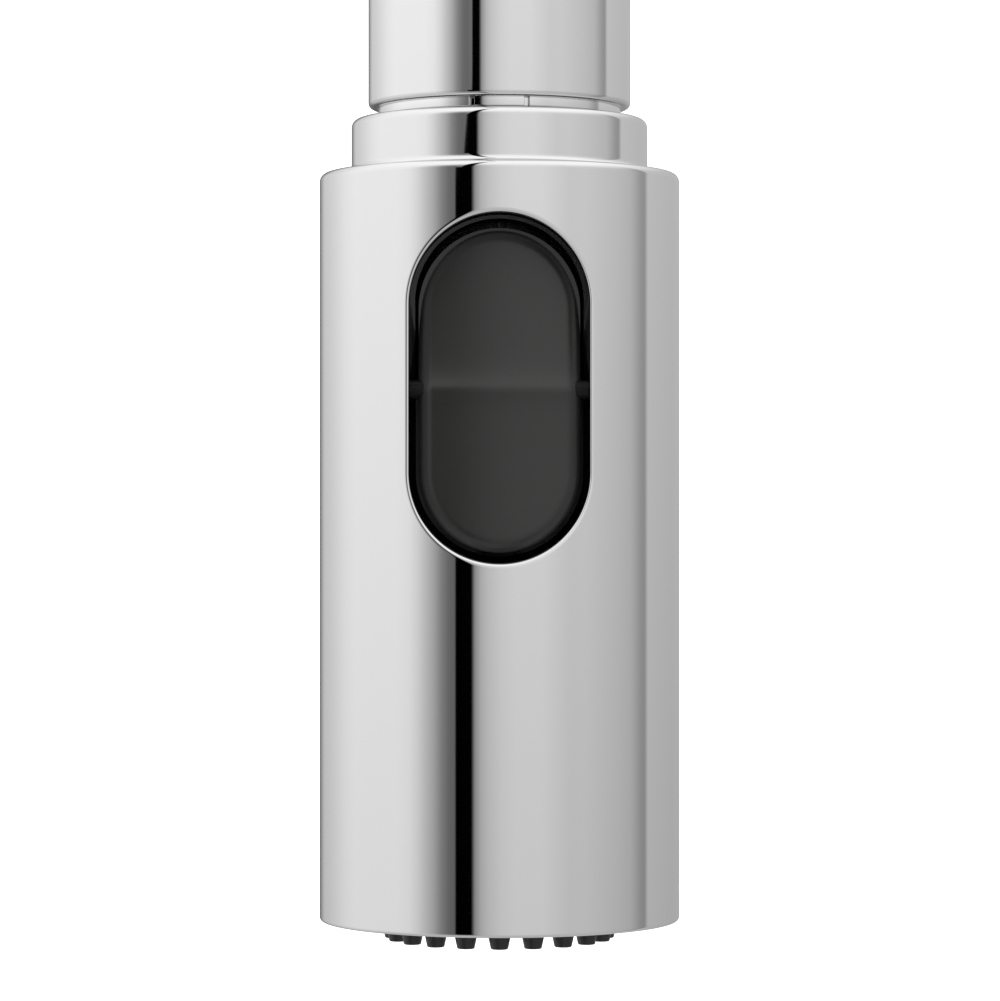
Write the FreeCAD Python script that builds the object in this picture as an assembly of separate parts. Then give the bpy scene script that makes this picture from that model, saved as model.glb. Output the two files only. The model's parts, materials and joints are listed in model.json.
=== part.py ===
"""Pull-down kitchen faucet: deck base, side lever valve, swivelling gooseneck spout and a docked spray head.

Millimetres, +Z up. The origin is the centre of the face that rests on the countertop. The spout reaches
towards -Y, and the lever stands on the +X side. Each sub-part is written to parts/NODE.step.
"""

import FreeCAD, Part
import math
import os

from FreeCAD import Vector, Rotation, Placement

# ---------------------------------------------------------------- driving dimensions
# countertop mounting
SHANK_R = 16.5             # threaded shank, for a 35 mm hole
SHANK_WALL = 2.0
SHANK_LENGTH = 78.0        # below the countertop's top face
DECK_MAX = 40.0            # thickest countertop that the washers leave room for
THREAD_PITCH = 2.0
GASKET_T = 1.5
# body
BODY_R = 26.0
BODY_WALL = 2.0
BODY_TOP = 165.0
BASE_RING_H = 6.0
BASE_RING_LIP = 2.5        # how far the base ring stands out from the body
FOOT_T = 12.0
# side valve
HUB_Z = 95.0
HUB_R = 23.0
HUB_WALL = 4.5
HUB_END = 50.0             # the hub's end face, and the plane of the lever's pivot
SEAT_X = 18.4              # the face that the cartridge sits on
LEVER_TILT = 20.0          # degrees of lift from shut to full flow
LEVER_R = 4.5
LEVER_LENGTH = 92.0        # above the handle cap
# spout
REACH = 210.0
TUBE_R = 17.5
TUBE_WALL = 1.5
LEG_STRAIGHT = 50.0        # straight tube above the docked head
HEAD_Z = 225.0             # the spray head's lower rim
# hose
HOSE_R = 6.0
HOSE_BORE_R = 4.0
HOSE_SHIFT = 7.0           # the hose runs this far off the axis below the swivel
HOSE_BEND_R = 40.0
# spray head
HEAD_R = 24.0
HEAD_H = 99.5
HEAD_WALL = 1.6
COLLAR_R = 19.75
COLLAR_H = 7.25
DOCK_GAP = 1.5             # the collar's top to the end of the spout tube
RECESS_W = HEAD_R * 0.9667   # 23.2, a thumb's width, on a 48 mm head
RECESS_H = 44.8
RECESS_Z = 70.25           # centre of the rocker's recess above the lower rim
RECESS_TAPER = 0.8         # how much each wall of the recess closes in behind the rocker's face
ROCKER_THROW = 8.0         # degrees between the two sprays
ROCKER_DEPTH = 3.0         # the rocker's ridge below the shell's surface
NOZZLE_COUNT = 20
NOZZLE_RING_R = 14.15
NOZZLE_TIP_R = 1.04
NOZZLE_ROOT_R = 1.42
NOZZLE_OUT = 2.45          # tips below the lower rim
# fits
CLEAR = 0.1                # between separate parts that don't move
RUN = 0.06                 # radial clearance of a pin or shaft that turns

# ---------------------------------------------------------------- derived positions
ARC_R = REACH / 2
HUB_BORE_R = HUB_R - HUB_WALL
BODY_BORE_R = BODY_R - BODY_WALL
SHANK_BORE_R = SHANK_R - SHANK_WALL
BODY_BOTTOM = GASKET_T + BASE_RING_H
FOOT_TOP = BODY_BOTTOM + FOOT_T
COLLAR_TOP = HEAD_H + COLLAR_H
TUBE_END = COLLAR_TOP + DOCK_GAP            # above the head's lower rim
LEG_TOP = TUBE_END + LEG_STRAIGHT           # above the head's lower rim
ARC_Z = HEAD_Z + LEG_TOP
TUBE_BORE_R = TUBE_R - TUBE_WALL
HEAD_BORE_R = HEAD_R - HEAD_WALL

OUT = "parts"


# ---------------------------------------------------------------- helpers
def rounded_wire(points):
    """A closed wire in the XZ plane through (r, z, radius) corners, each rounded to its radius."""
    n = len(points)
    arcs = []
    for i, (r, z, fillet) in enumerate(points):
        here = Vector(r, 0, z)
        before = Vector(points[i - 1][0], 0, points[i - 1][1])
        after = Vector(points[(i + 1) % n][0], 0, points[(i + 1) % n][1])
        if fillet <= 0:
            arcs.append((here, None, here))
            continue
        u = (before - here).normalize()
        v = (after - here).normalize()
        half = math.acos(max(-1.0, min(1.0, u.dot(v)))) / 2
        run = fillet / math.tan(half)
        centre = here + (u + v).normalize() * (fillet / math.sin(half))
        middle = centre + (here - centre).normalize() * fillet
        arcs.append((here + u * run, middle, here + v * run))
    edges = []
    for i, (start, middle, end) in enumerate(arcs):
        if middle is not None:
            edges.append(Part.Arc(start, middle, end).toShape())
        following = arcs[(i + 1) % n][0]
        if end.distanceToPoint(following) > 1e-6:
            edges.append(Part.LineSegment(end, following).toShape())
    return Part.Wire(edges)


def turned(points):
    """A solid of revolution about Z from (r, z) or (r, z, radius) corners."""
    corners = [(p[0], p[1], p[2] if len(p) > 2 else 0.0) for p in points]
    face = Part.Face(rounded_wire(corners))
    return face.revolve(Vector(0, 0, 0), Vector(0, 0, 1), 360)


def rod(r, z0, z1, x=0.0, y=0.0):
    """A cylinder along Z."""
    return Part.makeCylinder(r, z1 - z0, Vector(x, y, z0))


def tube(r_out, r_in, z0, z1, x=0.0, y=0.0):
    """A hollow cylinder along Z."""
    return rod(r_out, z0, z1, x, y).cut(rod(r_in, z0 - 1, z1 + 1, x, y))


def block(x0, x1, y0, y1, z0, z1):
    """A box between two corners."""
    return Part.makeBox(x1 - x0, y1 - y0, z1 - z0, Vector(x0, y0, z0))


def ball(r, z=0.0):
    """A sphere centred on the Z axis."""
    return Part.makeSphere(r, Vector(0, 0, z))


def along_x(r, x0, x1, y=0.0, z=0.0):
    """A cylinder along X."""
    return Part.makeCylinder(r, x1 - x0, Vector(x0, y, z), Vector(1, 0, 0))


def along_y(r, y0, y1, x=0.0, z=0.0):
    """A cylinder along Y."""
    return Part.makeCylinder(r, y1 - y0, Vector(x, y0, z), Vector(0, 1, 0))


def o_ring(mean_r, cord_r, z):
    """A rubber ring about Z."""
    return Part.makeTorus(mean_r, cord_r, Vector(0, 0, z))


def joined(*solids):
    """One solid from several that touch or overlap."""
    shape = solids[0].fuse(list(solids[1:])) if len(solids) > 1 else solids[0]
    return shape.removeSplitter()


def group(solids):
    """Separate solids kept together in one node."""
    return Part.makeCompound(solids)


def moved(shape, x=0.0, y=0.0, z=0.0):
    """A translated copy."""
    copy = shape.copy()
    copy.translate(Vector(x, y, z))
    return copy


def spun(shape, angle):
    """A copy turned about Z by an angle in degrees."""
    copy = shape.copy()
    copy.rotate(Vector(0, 0, 0), Vector(0, 0, 1), angle)
    return copy


def on_head(shape):
    """From the spray head's own frame, with its lower rim at z 0, to the faucet's frame."""
    return moved(shape, 0, -REACH, HEAD_Z)


def on_hub(shape):
    """From a frame whose Z runs along the hub, with x downwards, to the faucet's frame."""
    copy = shape.copy()
    copy.Placement = Placement(Vector(0, 0, HUB_Z), Rotation(Vector(0, 1, 0), 90)).multiply(copy.Placement)
    return copy


def pipe(r_out, r_in, path):
    """A tube whose centre line is a run of edges; the first edge starts at the top and heads along Z."""
    spine = Part.Wire(path)
    start = path[0].valueAt(path[0].FirstParameter)
    outer = Part.Wire(Part.makeCircle(r_out, start, Vector(0, 0, 1)))
    inner = Part.Wire(Part.makeCircle(r_in, start, Vector(0, 0, 1)))
    return spine.makePipeShell([outer], True, True).cut(spine.makePipeShell([inner], True, True))


def line(start, end):
    """A straight piece of a centre line."""
    return Part.LineSegment(start, end).toShape()


def arc(start, middle, end):
    """A bent piece of a centre line."""
    return Part.Arc(start, middle, end).toShape()


def slot_face(width, height, y, z):
    """A round-ended slot, taller than wide, in the plane at this y."""
    r = width / 2
    half = max(height / 2 - r, 0.01)
    top, bottom = Vector(0, y, z + half), Vector(0, y, z - half)
    right, left = Vector(r, 0, 0), Vector(-r, 0, 0)
    edges = [
        Part.LineSegment(bottom + right, top + right).toShape(),
        Part.Arc(top + right, top + Vector(0, 0, r), top + left).toShape(),
        Part.LineSegment(top + left, bottom + left).toShape(),
        Part.Arc(bottom + left, bottom - Vector(0, 0, r), bottom + right).toShape(),
    ]
    return Part.Wire(edges)


def slot_loft(width0, height0, y0, width1, height1, y1, z):
    """A round-ended solid between two slot outlines at y0 and y1."""
    return Part.makeLoft([slot_face(width0, height0, y0, z), slot_face(width1, height1, y1, z)], True, True)


def with_fillets(solid, radius, wanted):
    """The solid with the edges that wanted() picks rounded."""
    edges = [e for e in solid.Edges if wanted(e)]
    return solid.makeFillet(radius, edges) if edges else solid


def save(name, shape):
    """Writes one node."""
    solids = shape.Solids
    if not solids or not shape.isValid():
        raise ValueError(f"{name} is not a valid solid")
    if len(solids) == 1:
        shape = solids[0]
    shape.exportStep(f"{OUT}/{name}.step")
    print(f"{name:22s} {len(solids):3d} solids {shape.Volume / 1000:9.2f} cm3")


# ---------------------------------------------------------------- base and countertop mounting
def build_base():
    """The chrome body, the ring under it, and what clamps it to the countertop."""
    ring_r = BODY_R + BASE_RING_LIP
    save("base_gasket", tube(ring_r - 1.5, SHANK_R + 1.0, 0, GASKET_T))
    save("base_ring", turned([
        (SHANK_R + 1.0, GASKET_T),
        (ring_r, GASKET_T, 0.6),
        (ring_r, BODY_BOTTOM, 1.6),
        (SHANK_R + 1.0, BODY_BOTTOM),
    ]))

    # one casting: the upright column and the side hub
    column = rod(BODY_R, BODY_BOTTOM, BODY_TOP)
    hub = along_x(HUB_R, 0, HUB_END, 0, HUB_Z)
    casting = joined(column, hub)

    def meets_hub(edge):
        box = edge.BoundBox
        return box.XMin > 1 and box.XMax < BODY_R + 0.5 and box.ZLength > HUB_R and box.YLength > HUB_R

    casting = with_fillets(casting, 2.0, meets_hub)
    casting = with_fillets(casting, 1.0, lambda e: abs(e.BoundBox.XMin - HUB_END) < 1e-3)
    casting = casting.cut(rod(BODY_BORE_R, BODY_BOTTOM - 1, BODY_TOP + 1))
    casting = casting.cut(along_x(HUB_BORE_R, 0, HUB_END + 1, 0, HUB_Z))
    save("body_shell", casting)

    save("body_foot", tube(BODY_BORE_R - CLEAR, SHANK_R + 0.01, BODY_BOTTOM, FOOT_TOP))

    # a plain neck through the countertop, then ring threads for the nut
    neck_end = -DECK_MAX + 10
    threads = [(SHANK_R, neck_end)]
    z = neck_end
    while z - THREAD_PITCH > -SHANK_LENGTH:
        threads += [(SHANK_R - 0.5, z - THREAD_PITCH / 2), (SHANK_R, z - THREAD_PITCH)]
        z -= THREAD_PITCH
    profile = [(SHANK_BORE_R, FOOT_TOP), (SHANK_R, FOOT_TOP)] + threads
    profile += [(SHANK_R - 0.8, -SHANK_LENGTH), (SHANK_BORE_R, -SHANK_LENGTH)]
    save("mounting_shank", turned(profile))

    top = -DECK_MAX - 1.0
    rubber_t, steel_t, nut_t = 3.0, 2.5, 10.0
    washer_r = SHANK_R + 10.0
    save("rubber_washer", tube(washer_r, SHANK_R + 0.5, top - rubber_t, top))
    steel = tube(washer_r, SHANK_R + 0.4, top - rubber_t - steel_t, top - rubber_t)
    slot = block(-washer_r - 1, 0, -SHANK_R + 1, SHANK_R - 1, top - rubber_t - steel_t - 1, top - rubber_t + 1)
    save("steel_washer", steel.cut(slot))
    nut_top = top - rubber_t - steel_t
    screw_at = SHANK_R + 5.2
    screw_r, head_r = 2.2, 3.6
    nut = tube(SHANK_R + 2.4, SHANK_R + 0.05, nut_top - nut_t, nut_top)
    flange = tube(SHANK_R + 9.5, SHANK_R + 0.05, nut_top - nut_t, nut_top - nut_t + 5)
    nut = joined(nut, flange)
    screws = []
    for side in (-1, 1):
        nut = nut.cut(rod(screw_r + RUN, nut_top - nut_t - 1, nut_top + 1, 0, side * screw_at))
        shaft = rod(screw_r, nut_top - nut_t - 6, nut_top, 0, side * screw_at)
        head = rod(head_r, nut_top - nut_t - 10, nut_top - nut_t - 6, 0, side * screw_at)
        cross = block(-0.5, 0.5, side * screw_at - 2.4, side * screw_at + 2.4,
                      nut_top - nut_t - 11, nut_top - nut_t - 8.6)
        screws.append(joined(shaft, head).cut(cross))
    save("mounting_nut", nut)
    save("nut_screws", group(screws))


# ---------------------------------------------------------------- waterways in the body
PORT_R = 4.45              # M10 x 1 hose threads
PORT_DEPTH = 14.0
PORTS = {"outlet": (SHANK_BORE_R - PORT_R - 0.6, 0.0)}
for _name, _side in (("hot", 1), ("cold", -1)):
    _angle = math.radians(60 * _side)
    _far = SHANK_BORE_R - PORT_R - 0.3
    PORTS[_name] = (_far * math.cos(_angle), _far * math.sin(_angle))
SEAL_AT = 7.0              # the cartridge's three ports, on a circle about its axis
SEAL_ANGLES = {"hot": 60.0, "outlet": 180.0, "cold": -60.0}


def build_waterways():
    """The brass manifold that feeds the cartridge, its outlet pipe, and the fixed part of the hose."""
    base_z = FOOT_TOP + CLEAR
    inside = rod(BODY_BORE_R - 0.3, 0, BODY_TOP)
    floor = rod(BODY_BORE_R - 0.3, base_z, base_z + 8)
    riser = block(HOSE_R + 2.0, SEAT_X, -HUB_BORE_R + 3, HUB_BORE_R - 3, base_z, HUB_Z + HUB_BORE_R - 3)
    bosses = [rod(PORT_R + 1.8, base_z, base_z + PORT_DEPTH + 6, x, y) for x, y in PORTS.values()]
    manifold = joined(floor, riser.common(inside), *[b.common(inside) for b in bosses])
    manifold = manifold.cut(rod(HOSE_R + 0.8, base_z - 1, HUB_Z, -HOSE_SHIFT, 0))
    for name, (x, y) in PORTS.items():
        manifold = manifold.cut(rod(PORT_R, base_z - 1, base_z + PORT_DEPTH, x, y))
        angle = math.radians(SEAL_ANGLES[name])
        at_y, at_z = SEAL_AT * math.sin(angle), HUB_Z + SEAL_AT * math.cos(angle)
        channel_x = (HOSE_R + 2.0 + SEAT_X) / 2
        manifold = manifold.cut(along_x(2.2, channel_x, SEAT_X + 1, at_y, at_z))
        manifold = manifold.cut(rod(2.0, base_z + PORT_DEPTH - 3, at_z, channel_x, at_y))
    save("valve_manifold", manifold)

    x, y = PORTS["outlet"]
    end = -SHANK_LENGTH - 22
    stub = joined(rod(PORT_R - 0.05, base_z + 0.5, base_z + PORT_DEPTH - 2, x, y), rod(4.0, end, base_z + 1, x, y),
                  rod(4.4, end + 4, end + 6, x, y))
    save("outlet_pipe", stub.cut(rod(2.8, end - 1, base_z + PORT_DEPTH, x, y)))

    # the hose leaves the swivel on the axis, steps aside past the valve and goes down through the shank
    angle = math.acos(1 - HOSE_SHIFT / (2 * HOSE_BEND_R))
    split = hose_split()
    half_drop = HOSE_BEND_R * math.sin(angle)
    sag = HOSE_BEND_R * (1 - math.cos(angle / 2))
    sink = HOSE_BEND_R * math.sin(angle / 2)
    bottom = split - 2 * half_drop
    tail = -SHANK_LENGTH - 8
    crossing = Vector(-HOSE_SHIFT / 2, 0, split - half_drop)
    save("hose_lower", pipe(HOSE_R, HOSE_BORE_R, [
        arc(Vector(0, 0, split), Vector(-sag, 0, split - sink), crossing),
        arc(crossing, Vector(sag - HOSE_SHIFT, 0, bottom + sink), Vector(-HOSE_SHIFT, 0, bottom)),
        line(Vector(-HOSE_SHIFT, 0, bottom), Vector(-HOSE_SHIFT, 0, tail)),
    ]))
    fitting = moved(turned([
        (HOSE_BORE_R - 0.6, tail - 26), (5.2, tail - 26, 0.5), (5.2, tail - 22), (4.4, tail - 22),
        (4.4, tail - 20), (5.2, tail - 20), (5.2, tail - 15), (HOSE_R + 0.9, tail - 15, 0.4),
        (HOSE_R + 0.9, tail, 0.4), (HOSE_BORE_R - 0.6, tail),
    ]), -HOSE_SHIFT, 0, 0)
    save("hose_tail_fitting", fitting)


# ---------------------------------------------------------------- cartridge and lever
PIVOT_X = HUB_END
BALL_X = PIVOT_X - 15.0    # where the stem drives the ceramic disc
DISC_FACE_X = SEAT_X + 10.1
CARTRIDGE_R = HUB_BORE_R - 1.0
SHOULDER_X = HUB_END - 9.0
NECK_R = CARTRIDGE_R - 3.0
CARRIER_R = NECK_R - 2.0
DOME_R = HUB_R - 2.5
CAP_CLEAR = 0.5
CAP_START = PIVOT_X + HUB_R * math.tan(math.radians(LEVER_TILT)) + 0.7
CAP_WALL = 6.0
CAP_END = PIVOT_X + DOME_R + CAP_CLEAR + CAP_WALL
STEM_R = 4.0
BOSS_R = 7.0


def build_cartridge():
    """The ceramic-disc cartridge that lies along the hub, and the nut and dome that hold it."""
    seats = [(SEAL_AT * math.cos(math.radians(180 - a)), SEAL_AT * math.sin(math.radians(a)))
             for a in SEAL_ANGLES.values()]
    seal_t = 1.3
    base = rod(CARTRIDGE_R - 2.1, SEAT_X + CLEAR, SEAT_X + 6)
    seals = []
    for x, y in seats:
        base = base.cut(rod(3.6, SEAT_X, SEAT_X + CLEAR + seal_t, x, y)).cut(rod(2.2, SEAT_X, SEAT_X + 8, x, y))
        seals.append(tube(3.5, 2.3, SEAT_X, SEAT_X + seal_t, x, y))
    save("cartridge_base", on_hub(base))
    save("port_seals", on_hub(group(seals)))

    fixed = rod(CARTRIDGE_R - 4.5, SEAT_X + 6.05, DISC_FACE_X - 0.05)
    for x, y in seats:
        fixed = fixed.cut(rod(2.2, SEAT_X, DISC_FACE_X + 1, x, y))
    save("fixed_disc", on_hub(fixed))

    shell = tube(CARTRIDGE_R, CARTRIDGE_R - 2.0, SEAT_X + CLEAR, SHOULDER_X)
    lid = tube(CARTRIDGE_R, CARRIER_R + RUN, SHOULDER_X - 1.6, SHOULDER_X)
    neck = tube(NECK_R, CARRIER_R + RUN, SHOULDER_X - 1.6, PIVOT_X + 4)
    save("cartridge_housing", on_hub(joined(shell, lid, neck)))

    # the moving disc and the slider that the stem's ball sits in
    disc_r = CARTRIDGE_R - 8.5
    disc = rod(disc_r, DISC_FACE_X + 0.05, DISC_FACE_X + 3)
    for x, y in seats:
        disc = disc.cut(rod(1.6, DISC_FACE_X - 1, DISC_FACE_X + 1.6, 0.55 * x, 0.55 * y))
    save("moving_disc", on_hub(disc))
    slider = rod(disc_r, DISC_FACE_X + 3.05, BALL_X + 2.4)
    save("disc_slider", on_hub(slider.cut(rod(3.3, BALL_X - 3.2, BALL_X + 3))))

    bottom = BALL_X + 2.8
    carrier = joined(rod(CARTRIDGE_R - 2.3, bottom, SHOULDER_X - 1.8), rod(CARRIER_R, bottom, PIVOT_X + 3))
    for side in (-1, 1):
        y0, y1 = sorted((side * (disc_r + 0.3), side * (disc_r + 2.0)))
        carrier = joined(carrier, block(-6, 6, y0, y1, DISC_FACE_X + 3.3, bottom + 1))
    swing = (PIVOT_X - bottom) * math.sin(math.radians(LEVER_TILT)) + STEM_R + 0.8
    carrier = carrier.cut(block(-swing, swing, -STEM_R, STEM_R, bottom - 1, PIVOT_X - 6))
    carrier = carrier.cut(block(-6.5, 6.5, -STEM_R, STEM_R, PIVOT_X - 7, PIVOT_X + 4))
    carrier = carrier.cut(along_y(1.5, -CARRIER_R, CARRIER_R, 0, PIVOT_X))
    save("stem_carrier", on_hub(carrier))
    save("lever_pin", on_hub(along_y(1.5, -CARRIER_R + 0.4, CARRIER_R - 0.4, 0, PIVOT_X)))

    nut = tube(HUB_BORE_R - CLEAR, NECK_R + 0.2, SHOULDER_X + 0.05, SHOULDER_X + 5)
    for i in range(6):
        nut = nut.cut(spun(block(NECK_R, NECK_R + 1.6, -1.5, 1.5, SHOULDER_X + 3, SHOULDER_X + 6), 60 * i))
    save("cartridge_nut", on_hub(nut))

    dome_neck = tube(HUB_BORE_R - CLEAR, HUB_BORE_R - 1.7, SHOULDER_X + 5.5, PIVOT_X)
    dome = ball(DOME_R, PIVOT_X).cut(ball(DOME_R - 2.0, PIVOT_X))
    dome = dome.cut(rod(HUB_R + 5, PIVOT_X - HUB_R - 5, PIVOT_X))
    opening = DOME_R * math.sin(math.asin(BOSS_R / DOME_R) + math.radians(LEVER_TILT + 3))
    dome = dome.cut(rod(opening, PIVOT_X, PIVOT_X + HUB_R + 5))
    lip = tube(DOME_R, HUB_BORE_R - 1.7, PIVOT_X, PIVOT_X + 1.2).common(ball(DOME_R, PIVOT_X))
    save("dome_cover", on_hub(joined(dome_neck, dome, lip)))


def build_lever():
    """The stem, the cap that hides the dome, and the pin lever with its grub screw and plug."""
    arm = joined(
        ball(3.0, BALL_X),
        rod(2.0, BALL_X, PIVOT_X - 10),
        block(-STEM_R, STEM_R, -STEM_R + 0.3, STEM_R - 0.3, PIVOT_X - 10.5, PIVOT_X + 4),
        rod(STEM_R, PIVOT_X + 3.9, CAP_END - 2),
    )
    save("valve_stem", on_hub(arm.cut(along_y(1.5 + RUN, -HUB_R, HUB_R, 0, PIVOT_X))))

    cap = turned([
        (0, CAP_START), (HUB_R, CAP_START, 0.5), (HUB_R, CAP_END, 1.5), (0, CAP_END),
    ])
    cap = cap.cut(ball(DOME_R + CAP_CLEAR, PIVOT_X))
    cap = joined(cap, rod(BOSS_R, PIVOT_X + 12, CAP_END - 3))
    cap = cap.cut(rod(STEM_R + 0.02, PIVOT_X, CAP_END - 2))
    lever_x = CAP_START + (CAP_END - CAP_START) * 0.5
    root = HUB_R - 6.5
    top = HUB_R + LEVER_LENGTH
    cap = cap.cut(along_x(LEVER_R - 0.8, -HUB_R - 1, -root, 0, lever_x))
    screw_z = CAP_END - CAP_WALL / 2
    screw_r = 1.8
    cap = cap.cut(along_x(screw_r, STEM_R - 0.5, HUB_R + 1, 0, screw_z))
    save("handle_cap", on_hub(cap))

    # the local -x direction is up
    lever = turned([
        (0, root), (LEVER_R - 0.8, root), (LEVER_R - 0.8, HUB_R), (LEVER_R, HUB_R + 0.8, 0.4),
        (LEVER_R, top, 2.0), (0, top),
    ])
    lever.rotate(Vector(0, 0, 0), Vector(0, 1, 0), -90)
    save("lever_rod", on_hub(moved(lever, 0, 0, lever_x)))
    grub = along_x(screw_r, STEM_R + 0.05, STEM_R + 8, 0, screw_z)
    save("grub_screw", on_hub(grub.cut(along_x(0.9, STEM_R + 5, STEM_R + 9, 0, screw_z))))
    save("screw_plug", on_hub(along_x(screw_r, HUB_R - 3.5, HUB_R - 0.6, 0, screw_z)))


# ---------------------------------------------------------------- swivel and spout
SOCKET_BOTTOM = BODY_TOP - 43.0
SOCKET_R = TUBE_R + 0.8
ADAPTER_R = TUBE_R - 0.1


def hose_split():
    """The height where the hose that turns with the spout meets the one that stays in the body."""
    return SOCKET_BOTTOM - 8.0


def build_swivel():
    """The bearing that the spout turns in."""
    socket = turned([
        (SOCKET_R + 0.9, SOCKET_BOTTOM), (BODY_BORE_R - CLEAR, SOCKET_BOTTOM), (BODY_BORE_R - CLEAR, BODY_TOP - 0.5),
        (SOCKET_R + 0.9, BODY_TOP - 0.5), (SOCKET_R + 0.9, BODY_TOP - 9), (SOCKET_R, BODY_TOP - 9),
        (SOCKET_R, SOCKET_BOTTOM + 8), (SOCKET_R + 0.9, SOCKET_BOTTOM + 8),
    ])
    save("swivel_socket", socket)
    bush_out, bush_in = SOCKET_R + 0.85, ADAPTER_R + RUN
    save("bushing_upper", tube(bush_out, bush_in, BODY_TOP - 8.9, BODY_TOP - 2.5))
    save("bushing_lower", tube(bush_out, bush_in, SOCKET_BOTTOM + 1.0, SOCKET_BOTTOM + 7.9))
    save("body_top_ring", turned([
        (TUBE_R + 0.3, BODY_TOP), (BODY_R, BODY_TOP, 0.3), (BODY_R, BODY_TOP + 5, 2.2),
        (TUBE_R + 0.3, BODY_TOP + 5, 0.5),
    ]))

    groove_r = ADAPTER_R - 1.3
    seals = [SOCKET_BOTTOM + 14, BODY_TOP - 15]
    adapter = joined(tube(ADAPTER_R, HOSE_R + 2.0, SOCKET_BOTTOM - 6, BODY_TOP - 0.6),
                     tube(ADAPTER_R + 1.0, HOSE_R + 2.0, BODY_TOP - 2.4, BODY_TOP - 0.6),
                     tube(TUBE_BORE_R - 0.05, HOSE_R + 2.0, BODY_TOP - 1, BODY_TOP + 20))
    for z in seals:
        adapter = adapter.cut(tube(ADAPTER_R + 1, groove_r, z - 1.15, z + 1.15))
    clip_z = SOCKET_BOTTOM - 1.1
    adapter = adapter.cut(tube(ADAPTER_R + 1, ADAPTER_R - 1.5, clip_z - 0.85, clip_z + 0.85))
    save("spout_adapter", adapter)
    save("swivel_o_rings", group([o_ring(groove_r + 1.04, 1.0, z) for z in seals]))
    clip = tube(ADAPTER_R + 3.0, ADAPTER_R - 1.45, clip_z - 0.8, clip_z + 0.8)
    save("snap_ring", clip.cut(block(-3.0, 3.0, 0, HUB_R + 5, clip_z - 2, clip_z + 2)))


def build_spout():
    """The gooseneck tube, the hose in it, and the dock at its end."""
    end_z = HEAD_Z + TUBE_END
    top, crown, over = Vector(0, 0, ARC_Z), Vector(0, -ARC_R, ARC_Z + ARC_R), Vector(0, -REACH, ARC_Z)
    body = pipe(TUBE_R, TUBE_BORE_R, [
        line(Vector(0, 0, BODY_TOP - 0.5), top),
        arc(top, crown, over),
        line(over, Vector(0, -REACH, end_z)),
    ])
    body = with_fillets(body, 1.1, lambda e: abs(e.BoundBox.ZMax - end_z) < 1e-3 and e.BoundBox.XMax > TUBE_R - 0.1)
    save("spout_tube", body)
    save("hose_upper", pipe(HOSE_R, HOSE_BORE_R, [line(Vector(0, 0, hose_split()), top), arc(top, crown, over)]))

    dock_r = TUBE_BORE_R - 0.05
    insert_top = TUBE_END + 17.0
    save("dock_insert", on_head(turned([
        (NECK_TOP_R + 0.5, insert_top), (dock_r, insert_top), (dock_r, TUBE_END + 1.2),
        (NECK_BASE_R + 1.4, TUBE_END + 1.2), (NECK_BASE_R + 0.5, TUBE_END + 3.5),
    ])))
    save("dock_magnet", on_head(tube(dock_r, NECK_TOP_R + 0.5, insert_top + 0.1, insert_top + 6)))
    # the ring that shows between the tube and the collar, with its key at the front
    ring_r = TUBE_R - 1.3
    ring = turned([
        (NECK_BASE_R + 0.5, COLLAR_TOP + 0.25), (ring_r, COLLAR_TOP + 0.25, 0.25),
        (ring_r, TUBE_END - 0.05), (dock_r, TUBE_END - 0.05), (dock_r, TUBE_END + 1.1),
        (NECK_BASE_R + 0.5, TUBE_END + 1.1),
    ])
    tab = tube(ring_r + 0.45, ring_r - 1.0, COLLAR_TOP + 0.3, TUBE_END - 0.15)
    tab = tab.common(block(-3.5, 3.5, -TUBE_R, 0, COLLAR_TOP, TUBE_END))
    notches = [block(x - 0.35, x + 0.35, -TUBE_R - 1, -ring_r + 0.5, COLLAR_TOP, TUBE_END) for x in (-3.8, 3.8)]
    ring = joined(ring, tab).cut(joined(*notches))
    save("dock_ring", on_head(ring))


# ---------------------------------------------------------------- spray head
NECK_BASE_R = 13.0         # the docking cone on the collar
NECK_TOP_R = 10.6
NIPPLE_R = 7.0
CORE_R = 12.5
SPOOL_R = 3.0
PIVOT_BACK = 3.0           # the rocker's pin behind its ridge
PIVOT_Y = -HEAD_R + ROCKER_DEPTH + PIVOT_BACK
WELL_WALL = 1.5
MOUTH_BACK = -math.sqrt(HEAD_R ** 2 - (RECESS_W / 2) ** 2) + 0.9   # where the recess's walls start to close in
MOUTH_LIP_R = 0.5          # rounding of the recess's mouth
WELL_BACK = -HEAD_R + 10.0
ROCKER_GAP = 0.35
ROCKER_W = RECESS_W - 2 * (RECESS_TAPER + ROCKER_GAP)
ROCKER_H = RECESS_H - 2 * RECESS_TAPER - 1.2
ROCKER_Z = RECESS_Z - 0.1
TONGUE_END = -1.9
TONGUE_T = 2.2


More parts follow.
